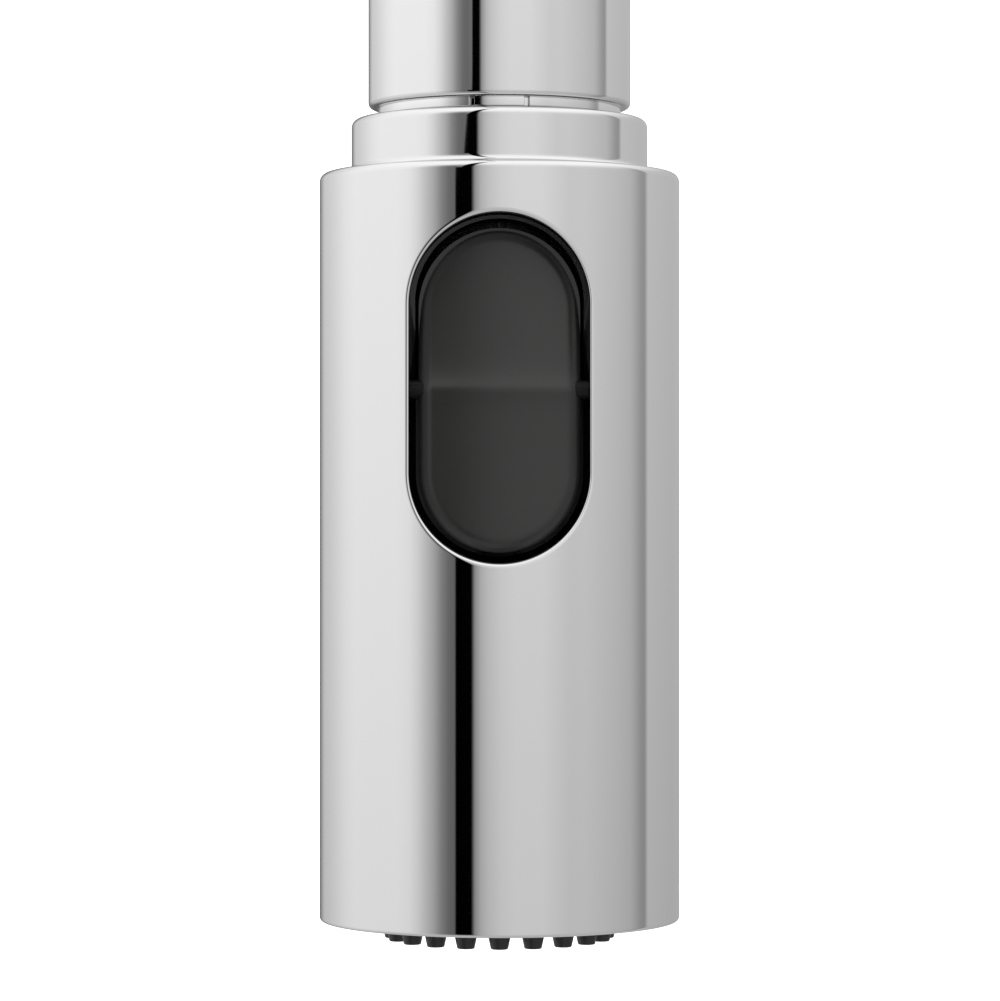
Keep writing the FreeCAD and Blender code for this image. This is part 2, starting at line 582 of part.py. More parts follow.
def build_hose_end():
    """What stays on the hose when the head turns: the nipple, its seals, the ferrule and the straight hose."""
    flange_z = HEAD_H - 1.0
    nipple_top = COLLAR_TOP + 18
    nipple = turned([
        (HOSE_BORE_R - 0.6, flange_z - 3.0), (NIPPLE_R - 1.0, flange_z - 3.0), (NIPPLE_R - 1.0, flange_z),
        (NIPPLE_R + 2, flange_z), (NIPPLE_R + 2, flange_z + 2.5), (NIPPLE_R, flange_z + 2.5),
        (NIPPLE_R, COLLAR_TOP + 10), (HOSE_BORE_R - 0.1, COLLAR_TOP + 10), (HOSE_BORE_R - 0.1, nipple_top),
        (HOSE_BORE_R - 0.6, nipple_top),
    ])
    groove_z = flange_z + 5.5
    nipple = nipple.cut(tube(NIPPLE_R + 1, NIPPLE_R - 0.9, groove_z - 0.8, groove_z + 0.8))
    save("hose_nipple", on_head(nipple))
    save("nipple_o_ring", on_head(o_ring(NIPPLE_R - 0.44, 0.44, groove_z)))
    save("hose_ferrule", on_head(turned([
        (HOSE_R + 0.02, COLLAR_TOP + 10.1), (HOSE_R + 0.9, COLLAR_TOP + 10.1, 0.3),
        (HOSE_R + 0.9, COLLAR_TOP + 22, 0.3), (HOSE_R + 0.02, COLLAR_TOP + 22),
    ])))
    save("hose_drop", on_head(tube(HOSE_R, HOSE_BORE_R, COLLAR_TOP + 10.1, LEG_TOP)))


def build_head():
    """The chrome shell and collar, and the waterway core, face and aerator inside."""
    shell = turned([
        (0, 0), (HEAD_R, 0, 0.64), (HEAD_R, HEAD_H, 1.56), (0, HEAD_H),
    ])
    hollow = rod(HEAD_BORE_R, -1, HEAD_H - 2.0)
    mouth = slot_loft(RECESS_W, RECESS_H, -HEAD_R - 1, RECESS_W, RECESS_H, MOUTH_BACK, RECESS_Z)
    narrow_w, narrow_h = RECESS_W - 2 * RECESS_TAPER, RECESS_H - 2 * RECESS_TAPER
    taper = slot_loft(RECESS_W, RECESS_H, MOUTH_BACK, narrow_w, narrow_h, MOUTH_BACK + 3, RECESS_Z)
    straight = slot_loft(narrow_w, narrow_h, MOUTH_BACK + 3, narrow_w, narrow_h, WELL_BACK + 1, RECESS_Z)
    wall = slot_loft(RECESS_W + 2 * WELL_WALL, RECESS_H + 2 * WELL_WALL, -HEAD_R,
                     RECESS_W + 2 * WELL_WALL, RECESS_H + 2 * WELL_WALL, WELL_BACK, RECESS_Z)
    solid = joined(shell.cut(hollow), wall.common(rod(HEAD_R - 0.5, 0, HEAD_H)))
    solid = solid.cut(mouth).cut(taper).cut(straight)

    def at_mouth(edge):
        box = edge.BoundBox
        near = box.YMin < -HEAD_R + 4 and box.YMax < -HEAD_R + 4
        inside = box.ZMin > RECESS_Z - RECESS_H / 2 - 0.5 and box.ZMax < RECESS_Z + RECESS_H / 2 + 0.5
        middle = edge.valueAt(edge.ParameterRange[0] * 0.5 + edge.ParameterRange[1] * 0.5)
        on_skin = abs(math.hypot(middle.x, middle.y) - HEAD_R) < 0.01
        return near and inside and on_skin and abs(middle.x) < HEAD_R * 0.6

    solid = with_fillets(solid, MOUTH_LIP_R, at_mouth)
    solid = solid.cut(rod(NIPPLE_R + 3.4, HEAD_H - 3, HEAD_H + 1))
    pin_half = RECESS_W / 2 + WELL_WALL - 0.6
    solid = solid.cut(along_x(1.25, -pin_half, pin_half, PIVOT_Y, ROCKER_Z))
    save("head_shell", on_head(solid))
    save("rocker_pin", on_head(along_x(1.25, -pin_half, pin_half, PIVOT_Y, ROCKER_Z)))

    counterbore = NIPPLE_R + 2.3
    save("head_collar", on_head(turned([
        (counterbore, HEAD_H - 1.9), (NIPPLE_R + 3.3, HEAD_H - 1.9), (NIPPLE_R + 3.3, HEAD_H + 0.02),
        (COLLAR_R, HEAD_H + 0.02, 0.2), (COLLAR_R, COLLAR_TOP, 1.1), (NECK_BASE_R, COLLAR_TOP),
        (NECK_BASE_R, COLLAR_TOP + 2), (NECK_TOP_R, COLLAR_TOP + 15, 0.8), (NECK_TOP_R - 2.0, COLLAR_TOP + 15),
        (NECK_TOP_R - 2.0, COLLAR_TOP + 9), (NIPPLE_R + RUN, COLLAR_TOP + 9),
        (NIPPLE_R + RUN, HEAD_H + 2.0), (counterbore, HEAD_H + 2.0),
    ])))

    # the core carries water to the middle or to the ring of nozzles
    top = HEAD_H - 4.2
    core = joined(rod(CORE_R, 10, top), rod(HEAD_BORE_R - 0.4, 10, 13), rod(NIPPLE_R + 4, top - 0.1, HEAD_H - 2.1))
    core = core.cut(rod(SPOOL_R + RUN, 12, top - 12)).cut(rod(NIPPLE_R - 0.5, top - 13, HEAD_H))
    core = core.cut(rod(NIPPLE_R + 2.2, top + 1.0, HEAD_H))
    core = core.cut(block(-2.6, 2.6, -CORE_R - 1, -1.2, ROCKER_Z - TONGUE_T / 2 - 0.5,
                          ROCKER_Z + TONGUE_T / 2 + 3.4))
    core = core.cut(rod(8.6, 9, 12)).cut(tube(CORE_R - 0.5, 10.6, 9, 11.5))
    for i in range(6):
        core = core.cut(spun(rod(1.6, 9, 14, CORE_R + 1.9, 0), 60 * i))
    save("head_core", on_head(core))

    check = turned([(2.4, top - 11.0), (NIPPLE_R - 0.7, top - 11.0), (NIPPLE_R - 0.7, top - 2, 0.4),
                    (2.4, top - 2, 0.4)])
    save("check_valve", on_head(check))
    screen = rod(NIPPLE_R - 0.8, top - 1.7, top - 0.5)
    save("inlet_screen", on_head(screen))
    save("inlet_seal", on_head(tube(NIPPLE_R + 2.0, NIPPLE_R - 0.9, top + 1.05, HEAD_H - 1.3)))


def build_face():
    """The underside: face plate, rubber nozzles and the aerator."""
    plate_z, plate_t = 0.7, 1.6
    plate = rod(HEAD_BORE_R - 0.1, plate_z, plate_z + plate_t)
    mat = tube(NOZZLE_RING_R + 3.0, 10.6, plate_z + plate_t + 0.05, plate_z + plate_t + 1.6)
    root_r = NOZZLE_ROOT_R + (NOZZLE_ROOT_R - NOZZLE_TIP_R) * (plate_z + plate_t) / NOZZLE_OUT
    one = Part.makeCone(NOZZLE_TIP_R, root_r, NOZZLE_OUT + plate_z + plate_t + 0.2, Vector(NOZZLE_RING_R, 0, -NOZZLE_OUT))
    jet = rod(0.45, -NOZZLE_OUT - 1, 6, NOZZLE_RING_R, 0)
    for i in range(NOZZLE_COUNT):
        angle = 360 * i / NOZZLE_COUNT - 90
        plate = plate.cut(spun(rod(root_r + 0.08, 0, 3, NOZZLE_RING_R, 0), angle))
        mat = mat.fuse(spun(one, angle))
    for i in range(NOZZLE_COUNT):
        mat = mat.cut(spun(jet, 360 * i / NOZZLE_COUNT - 90))
    plate = plate.cut(rod(10.4, 0, 3))
    save("face_plate", on_head(plate))
    save("nozzle_mat", on_head(mat))
    housing = turned([
        (7.6, -0.6), (9.4, -0.6, 0.5), (9.4, 0.5), (10.2, 0.5), (10.2, 4.5), (8.5, 4.5), (8.5, 11.8), (7.6, 11.8),
    ])
    for i in range(12):
        housing = housing.cut(spun(block(9.0, 9.6, -0.5, 0.5, -1, 0.3), 30 * i))
    save("aerator_housing", on_head(housing))
    screens = []
    for z in (0.3, 2.6):
        disc = rod(7.5, z, z + 0.8)
        for ring_r, count in ((1.9, 6), (3.9, 12), (5.9, 18)):
            for i in range(count):
                disc = disc.cut(spun(rod(0.55, z - 1, z + 2, ring_r, 0), 360 * i / count))
        screens.append(disc)
    save("aerator_screens", on_head(group(screens)))
    save("aerator_seal", on_head(o_ring(9.4, 0.75, 5.4)))
    spacer = tube(NOZZLE_RING_R + 2.9, NOZZLE_RING_R + 1.0, 4.0, 9.9)
    save("face_spacer", on_head(spacer))


def build_rocker():
    """The rocker button, drawn with its upper half pressed, and the spool that it shifts."""
    slope = math.tan(math.radians(ROCKER_THROW))
    ridge = -HEAD_R + ROCKER_DEPTH
    back = ridge + 5.0
    outline = slot_loft(ROCKER_W, ROCKER_H, ridge - 1, ROCKER_W, ROCKER_H, back, ROCKER_Z)
    high = ROCKER_Z + ROCKER_H
    low = ROCKER_Z - ROCKER_H
    side = Part.Wire(Part.makePolygon([
        Vector(0, ridge, low), Vector(0, ridge, ROCKER_Z), Vector(0, ridge + slope * ROCKER_H, high),
        Vector(0, back + 9, high), Vector(0, back + 9, low), Vector(0, ridge, low),
    ]))
    wedge = Part.Face(side).extrude(Vector(HEAD_R * 2, 0, 0))
    button = outline.common(moved(wedge, -HEAD_R, 0, 0))

    def on_front(edge):
        box = edge.BoundBox
        flat = box.YMax < back - 0.3
        return flat and not (abs(box.ZLength) < 1e-3 and box.XLength > ROCKER_W * 0.9)

    button = with_fillets(button, 0.9, on_front)
    tongue = block(-2.0, 2.0, back - 1.5, TONGUE_END, ROCKER_Z - TONGUE_T / 2, ROCKER_Z + TONGUE_T / 2)
    button = joined(button, tongue).cut(along_x(1.25 + RUN, -HEAD_R, HEAD_R, PIVOT_Y, ROCKER_Z))
    save("rocker", on_head(button))

    groove = TONGUE_T / 2 + 0.27
    bottom, top = 30.0, ROCKER_Z + 9.0
    spool = rod(SPOOL_R, bottom, top)
    spool = spool.cut(tube(SPOOL_R + 1, 1.5, ROCKER_Z - groove, ROCKER_Z + groove))
    rings_at = (bottom + 6, ROCKER_Z - 8, ROCKER_Z + 6)
    for z in rings_at:
        spool = spool.cut(tube(SPOOL_R + 1, SPOOL_R - 0.9, z - 0.6, z + 0.6))
    save("diverter_spool", on_head(spool))
    save("spool_o_rings", on_head(group([o_ring(SPOOL_R - 0.4, 0.44, z) for z in rings_at])))


os.makedirs(OUT, exist_ok=True)
build_base()
build_waterways()
build_cartridge()
build_lever()
build_swivel()
build_spout()
build_hose_end()
build_head()
build_face()
build_rocker()
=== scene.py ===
"""Looks of a pull-down kitchen faucet: chrome shells, spray head, rocker, nozzles, hose and studio."""

import json
import logging
import math
from dataclasses import dataclass, field
from enum import Enum
from typing import Sequence

import bmesh
import bpy
import numpy as np
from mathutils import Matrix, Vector

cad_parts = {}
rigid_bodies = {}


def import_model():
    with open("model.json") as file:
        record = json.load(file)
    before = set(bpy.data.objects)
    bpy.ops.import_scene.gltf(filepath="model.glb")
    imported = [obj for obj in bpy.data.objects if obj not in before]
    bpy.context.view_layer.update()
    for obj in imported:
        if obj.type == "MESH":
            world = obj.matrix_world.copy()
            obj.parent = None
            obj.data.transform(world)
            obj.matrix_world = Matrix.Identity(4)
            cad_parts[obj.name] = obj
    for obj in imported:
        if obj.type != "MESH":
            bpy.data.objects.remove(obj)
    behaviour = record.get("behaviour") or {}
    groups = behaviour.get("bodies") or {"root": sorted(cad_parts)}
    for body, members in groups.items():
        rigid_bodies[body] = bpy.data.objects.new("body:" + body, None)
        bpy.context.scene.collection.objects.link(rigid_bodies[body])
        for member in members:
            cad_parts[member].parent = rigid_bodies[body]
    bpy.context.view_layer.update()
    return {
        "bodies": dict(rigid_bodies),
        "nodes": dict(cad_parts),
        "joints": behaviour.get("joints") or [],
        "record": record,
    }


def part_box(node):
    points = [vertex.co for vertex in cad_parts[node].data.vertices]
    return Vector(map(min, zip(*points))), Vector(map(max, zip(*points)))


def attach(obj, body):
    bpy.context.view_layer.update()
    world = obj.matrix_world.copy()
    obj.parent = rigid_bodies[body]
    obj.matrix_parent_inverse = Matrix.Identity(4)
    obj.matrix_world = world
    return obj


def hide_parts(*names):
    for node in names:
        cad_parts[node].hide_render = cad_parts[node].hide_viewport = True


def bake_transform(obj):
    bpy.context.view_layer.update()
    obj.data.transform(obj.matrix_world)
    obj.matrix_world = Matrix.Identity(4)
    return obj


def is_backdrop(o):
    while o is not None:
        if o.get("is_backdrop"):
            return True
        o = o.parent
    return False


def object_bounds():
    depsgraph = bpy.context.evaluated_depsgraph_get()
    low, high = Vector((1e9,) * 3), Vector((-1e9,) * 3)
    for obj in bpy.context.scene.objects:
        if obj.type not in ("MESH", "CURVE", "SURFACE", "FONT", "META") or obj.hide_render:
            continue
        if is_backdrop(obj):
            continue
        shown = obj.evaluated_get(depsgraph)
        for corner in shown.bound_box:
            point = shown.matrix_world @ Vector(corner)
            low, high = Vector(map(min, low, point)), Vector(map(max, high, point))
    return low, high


LOG = logging.getLogger("faucet")
MM = 0.001
Array = np.ndarray


# ------------------------------------------------------------------ numbers and arrays
def linear(hex_colour: str) -> tuple[float, float, float, float]:
    """Turns an sRGB hex colour to linear light.

    Args:
        hex_colour: "#rrggbb".

    Returns:
        Red, green, blue and an alpha of 1.
    """
    parts = [int(hex_colour[i : i + 2], 16) / 255 for i in (1, 3, 5)]
    r, g, b = (c / 12.92 if c <= 0.04045 else ((c + 0.055) / 1.055) ** 2.4 for c in parts)
    return r, g, b, 1.0


def unit(vectors: Array) -> Array:
    """Scales each vector to length 1; a zero vector stays zero.

    Args:
        vectors: any shape, with the vectors along the last axis.

    Returns:
        The same shape.
    """
    length = np.linalg.norm(vectors, axis=-1, keepdims=True)
    return vectors / np.where(length < 1e-12, 1.0, length)


def placed(name: str, data: bpy.types.ID) -> bpy.types.Object:
    """Makes an object and links it to the scene.

    Args:
        name: the object's name.
        data: its mesh, lamp or camera.

    Returns:
        The object.
    """
    made = bpy.data.objects.new(name, data)
    bpy.context.collection.objects.link(made)
    return made


@dataclass
class Skin:
    """A triangle mesh with one normal per corner point, as arrays.

    Attributes:
        points: n by 3 positions in metres.
        triangles: m by 3 indices.
        normals: n by 3 unit normals.
    """

    points: Array
    triangles: Array
    normals: Array

    @staticmethod
    def from_grid(points: Array, normals: Array) -> "Skin":
        """Splits each cell of a rows by columns grid into two triangles.

        Args:
            points: rows by columns by 3.
            normals: the same shape.

        Returns:
            The grid as a mesh. A closed direction repeats its first row or column, and welding joins it.
        """
        rows, cols = points.shape[:2]
        at = np.arange(rows * cols).reshape(rows, cols)
        a, b, c, d = at[:-1, :-1], at[1:, :-1], at[1:, 1:], at[:-1, 1:]
        halves = [np.stack([a, b, c], -1), np.stack([a, c, d], -1)]
        triangles = np.concatenate([half.reshape(-1, 3) for half in halves])
        return Skin(points.reshape(-1, 3), triangles, normals.reshape(-1, 3))

    def moved(self, matrix: Array, offset: Sequence[float] = (0, 0, 0)) -> "Skin":
        """Turns the mesh, then shifts it.

        Args:
            matrix: a 3 by 3 rotation.
            offset: the shift in metres.

        Returns:
            A new mesh.
        """
        points = self.points @ matrix.T + np.asarray(offset, float)
        return Skin(points, self.triangles, self.normals @ matrix.T)

    def facing_out(self) -> "Skin":
        """Winds each triangle to agree with its points' normals.

        Returns:
            A new mesh.
        """
        p = self.points[self.triangles]
        face = np.cross(p[:, 1] - p[:, 0], p[:, 2] - p[:, 0])
        wrong = np.einsum("ij,ij->i", face, self.normals[self.triangles].sum(1)) < 0
        triangles = self.triangles.copy()
        triangles[wrong] = triangles[wrong][:, ::-1]
        return Skin(self.points, triangles, self.normals)

    def welded(self) -> "Skin":
        """Joins points that lie together, which closes seams and poles, and drops what collapses.

        Returns:
            A new mesh.
        """
        key = np.round(self.points / 2e-7).astype(np.int64)
        _, first, back = np.unique(key, axis=0, return_index=True, return_inverse=True)
        back = back.reshape(-1)
        normals = np.zeros((len(first), 3))
        np.add.at(normals, back, self.normals)
        t = back[self.triangles]
        keep = (t[:, 0] != t[:, 1]) & (t[:, 1] != t[:, 2]) & (t[:, 2] != t[:, 0])
        return Skin(self.points[first], t[keep], unit(normals))

    def object(self, name: str) -> bpy.types.Object:
        """Makes the Blender object, smooth, with these normals.

        Args:
            name: the object's name.

        Returns:
            The object, linked to the scene.
        """
        skin = self.facing_out().welded()
        mesh = bpy.data.meshes.new(name)
        mesh.vertices.add(len(skin.points))
        mesh.vertices.foreach_set("co", skin.points.astype(np.float32).ravel())
        mesh.loops.add(len(skin.triangles) * 3)
        mesh.loops.foreach_set("vertex_index", skin.triangles.astype(np.int32).ravel())
        mesh.polygons.add(len(skin.triangles))
        mesh.polygons.foreach_set("loop_start", np.arange(0, len(skin.triangles) * 3, 3, dtype=np.int32))
        mesh.update(calc_edges=True)
        mesh.validate()
        mesh.polygons.foreach_set("use_smooth", np.ones(len(mesh.polygons), dtype=bool))
        if len(mesh.vertices) == len(skin.normals):
            mesh.normals_split_custom_set_from_vertices(skin.normals.tolist())
        return placed(name, mesh)


def together(skins: Sequence[Skin]) -> Skin:
    """Puts several meshes in one.

    Args:
        skins: the meshes.

    Returns:
        One mesh, not welded.
    """
    starts = np.cumsum([0] + [len(s.points) for s in skins[:-1]])
    return Skin(
        np.concatenate([s.points for s in skins]),
        np.concatenate([s.triangles + n for s, n in zip(skins, starts)]),
        np.concatenate([s.normals for s in skins]),
    )


@dataclass
class Outline:
    """Points along a rounded line in the plane of radius and height, each with its normal."""

    points: Array
    normals: Array

    @staticmethod
    def rounded(corners: Sequence[tuple[float, ...]], closed: bool = True, steps: int = 8) -> "Outline":
        """Rounds each corner of a line with an arc that is tangent to both its sides.

        The arc's centre lies on the corner's bisector at radius over sine of the half angle. Each point's
        normal points away from the arc's centre at an outer corner and towards it at an inner one.

        Args:
            corners: (radius, height, rounding) in millimetres, with the solid on the left of the line.
            closed: True joins the last corner to the first.
            steps: pieces in each arc.

        Returns:
            The outline in metres.
        """
        pts = np.array([c[:2] for c in corners], float)
        rounding = np.array([c[2] if len(c) > 2 else 0.05 for c in corners])
        n = len(pts)
        where, normals = [], []
        for i in range(n):
            before, here, after = pts[i - 1], pts[i], pts[(i + 1) % n]
            if not closed and i in (0, n - 1):
                side = (after - here) if i == 0 else (here - before)
                side = side / np.linalg.norm(side)
                where.append(here[None])
                normals.append(np.array([[side[1], -side[0]]]))
                continue
            u = (here - before) / np.linalg.norm(here - before)
            v = (after - here) / np.linalg.norm(after - here)
            turn = math.atan2(u[0] * v[1] - u[1] * v[0], float(u @ v))
            room = 0.49 * min(np.linalg.norm(here - before), np.linalg.norm(after - here))
            run = min(rounding[i] * math.tan(abs(turn) / 2), room)
            radius = run / max(math.tan(abs(turn) / 2), 1e-6)
            start = here - u * run
            angles = math.atan2(-u[0], u[1]) + np.linspace(0, turn, steps + 1)
            out = np.stack([np.cos(angles), np.sin(angles)], -1)
            bulge = radius if turn > 0 else -radius
            where.append(start + bulge * np.array([-u[1], u[0]]) + bulge * out)
            normals.append(out)
        points, norms = np.concatenate(where) * MM, np.concatenate(normals)
        if closed:
            points, norms = np.concatenate([points, points[:1]]), np.concatenate([norms, norms[:1]])
        return Outline(points, norms)

    def turned(self, segments: int = 160, angles: Array | None = None) -> Skin:
        """Carries the outline round the Z axis: x = r cos a, y = r sin a, z = height.

        Args:
            segments: steps in a full turn.
            angles: the angles themselves in radians, in place of even steps.

        Returns:
            The turned mesh.
        """
        a = np.linspace(0, 2 * np.pi, segments + 1) if angles is None else angles
        ring = np.stack([np.cos(a), np.sin(a)], -1)

        def swept(flat: Array) -> Array:
            """Carries (radius, height) pairs round the axis, as pairs by angles by 3."""
            height = np.broadcast_to(flat[:, 1, None, None], (len(flat), len(a), 1))
            return np.concatenate([flat[:, 0, None, None] * ring, height], -1)

        return Skin.from_grid(swept(self.points), swept(self.normals))


UPRIGHT = np.eye(3)


# ------------------------------------------------------------------ materials
def add_node(
    tree: bpy.types.NodeTree, kind: str, settings: dict | None = None, links: dict | None = None
) -> bpy.types.Node:
    """Adds one node to a tree, sets its properties or inputs, and links its inputs.

    Args:
        tree: the material's or world's node tree.
        kind: the node's type name, without ShaderNode.
        settings: property names or input names or numbers, with their values.
        links: input names or numbers, with the output sockets that feed them.

    Returns:
        The node.
    """
    node = tree.nodes.new("ShaderNode" + kind)
    for key, value in (settings or {}).items():
        if isinstance(key, str) and hasattr(node, key) and key not in node.inputs:
            setattr(node, key, value)
        else:
            node.inputs[key].default_value = value
    for key, socket in (links or {}).items():
        tree.links.new(socket, node.inputs[key])
    return node


class Surface(Enum):
    """How a finish's surface was made, which sets its fine pattern."""

    POLISHED = "polished"
    TURNED = "turned"
    MOULDED = "moulded"
    SPARKED = "sparked"
    BRAIDED = "braided"
    GROUND = "ground"


@dataclass(frozen=True)
class Finish:
    """One real material and how its surface was made.

    Attributes:
        name: common name of the material.
        slot: the record's slot that it dresses.
        colour: sRGB hex of the base.
        surface: how it was made.
        metallic: 1 for bare metal.
        roughness: microscopic roughness.
        spread: how much the roughness varies over the surface.
        grain_mm: size of the pattern.
        depth_mm: height of the pattern.
        ior: index of refraction, for what isn't metal.
        mottle: how much the colour varies, from 0 to 1; on braided and spark-eroded surfaces it sets the
            painted shade, darker in the gaps and pits and lighter on the raised tops.
        coat: strength of a clear gloss layer.
    """

    name: str
    slot: str
    colour: str
    surface: Surface
    metallic: float = 0.0
    roughness: float = 0.4
    spread: float = 0.04
    grain_mm: float = 0.5
    depth_mm: float = 0.01
    ior: float = 1.5
    mottle: float = 0.06
    coat: float = 0.0

    def _pattern(self, tree: bpy.types.NodeTree, centre: Sequence[float]) -> bpy.types.NodeSocket:
        """Makes the height pattern that the bump follows; on braided and spark-eroded surfaces the colour
        follows it too, as painted shade in the hollows.

        Args:
            tree: the material's nodes.
            centre: where the piece's own axis stands, in metres.

        Returns:
            A value from 0 to 1.
        """
        place = add_node(tree, "TexCoord").outputs["Object"]
        shift = {"Location": tuple(-c for c in centre)}
        place = add_node(tree, "Mapping", shift, {"Vector": place}).outputs[0]
        per_metre = 1000 / self.grain_mm
        if self.surface is Surface.BRAIDED:
            return self._braid(tree, place)
        if self.surface is Surface.TURNED:
            # rings left by the cutting tool: noise squeezed along the axis and drawn out round it
            rings = add_node(tree, "Mapping", {"Scale": (0.05, 0.05, 1.0)}, {"Vector": place}).outputs[0]
            noise = add_node(tree, "TexNoise", {"Scale": per_metre, "Detail": 3.0}, {"Vector": rings})
            return noise.outputs["Fac"]
        if self.surface is Surface.GROUND:
            # lines left by the belt: noise drawn out along one direction
            lines = add_node(tree, "Mapping", {"Scale": (1.0, 0.04, 1.0)}, {"Vector": place}).outputs[0]
            noise = add_node(tree, "TexNoise", {"Scale": per_metre, "Detail": 4.0}, {"Vector": lines})
            return noise.outputs["Fac"]
        if self.surface is Surface.SPARKED:
            # pits left by spark erosion of the mould: small cells under finer noise
            cells = add_node(tree, "TexVoronoi", {"Scale": per_metre}, {"Vector": place}).outputs["Distance"]
            noise = add_node(tree, "TexNoise", {"Scale": per_metre * 1.7, "Detail": 4.0}, {"Vector": place})
            fine = noise.outputs["Fac"]
            return add_node(tree, "Math", {"operation": "MULTIPLY"}, {0: cells, 1: fine}).outputs[0]
        noise = add_node(tree, "TexNoise", {"Scale": per_metre, "Detail": 5.0}, {"Vector": place})
        return noise.outputs["Fac"]

    def _braid(self, tree: bpy.types.NodeTree, place: bpy.types.NodeSocket) -> bpy.types.NodeSocket:
        """Two families of helical strands that cross each other.

        The angle round the hose and the height along it make two slanted phases, their sum and difference.
        Each strand is the arch of its phase's sine, and the higher of the two strands shows.

        Args:
            tree: the material's nodes.
            place: the position about the hose's own axis.

        Returns:
            The strands' height from 0 to 1.
        """
        strands = 12.0
        per_metre = 2 * math.pi * 1000 / self.grain_mm
        x, y, z = add_node(tree, "SeparateXYZ", links={0: place}).outputs
        angle = add_node(tree, "Math", {"operation": "ARCTAN2"}, {0: y, 1: x}).outputs[0]
        around = add_node(tree, "Math", {"operation": "MULTIPLY", 1: strands}, {0: angle}).outputs[0]
        along = add_node(tree, "Math", {"operation": "MULTIPLY", 1: per_metre}, {0: z}).outputs[0]
        heights = []
        for kind in ("ADD", "SUBTRACT"):
            phase = add_node(tree, "Math", {"operation": kind}, {0: around, 1: along}).outputs[0]
            wave = add_node(tree, "Math", {"operation": "SINE"}, {0: phase}).outputs[0]
            arch = add_node(tree, "Math", {"operation": "MULTIPLY_ADD", 1: 0.5, 2: 0.5}, {0: wave})
            heights.append(arch.outputs[0])
        return add_node(tree, "Math", {"operation": "MAXIMUM"}, {0: heights[0], 1: heights[1]}).outputs[0]

    def material(self, centre: Sequence[float] = (0, 0, 0), suffix: str = "") -> bpy.types.Material:
        """Builds the node material.

        Args:
            centre: where the piece's own axis stands, in metres.
            suffix: set where one finish needs its own centre.

        Returns:
            The material, named for what it is.
        """
        made = bpy.data.materials.new(self.name.replace(" ", "_") + suffix)
        made.use_nodes = True
        tree = made.node_tree
        tree.nodes.clear()
        height = self._pattern(tree, centre)
        place = add_node(tree, "TexCoord").outputs["Object"]
        broad = add_node(tree, "TexNoise", {"Scale": 45.0, "Detail": 3.0}, {"Vector": place}).outputs["Fac"]
        base = linear(self.colour)
        low = tuple(c * (1 - self.mottle) for c in base[:3]) + (1.0,)
        high = tuple(min(1.0, c * (1 + self.mottle)) for c in base[:3]) + (1.0,)
        # painted shade: on braided and spark-eroded surfaces the colour follows the height, darker in the gaps
        # between strands and in the pits, lighter on the raised tops; elsewhere broad noise gives a random
        # tone
        shade = height if self.surface in (Surface.BRAIDED, Surface.SPARKED) else broad
        colour = add_node(tree, "MixRGB", {"Color1": low, "Color2": high}, {"Fac": shade}).outputs[0]
        rough = add_node(
            tree,
            "MapRange",
            {"To Min": max(0.0, self.roughness - self.spread), "To Max": self.roughness + self.spread},
            {"Value": broad},
        ).outputs[0]
        depth = {"Strength": 1.0, "Distance": self.depth_mm * MM}
        bump = add_node(tree, "Bump", depth, {"Height": height}).outputs[0]
        shader = add_node(
            tree,
            "BsdfPrincipled",
            {"Metallic": self.metallic, "IOR": self.ior, "Coat Weight": self.coat, "Coat Roughness": 0.08},
            {"Base Color": colour, "Roughness": rough, "Normal": bump},
        )
        add_node(tree, "OutputMaterial", links={"Surface": shader.outputs[0]})
        return made


POLISHED, TURNED, MOULDED, SPARKED, BRAIDED, GROUND = Surface

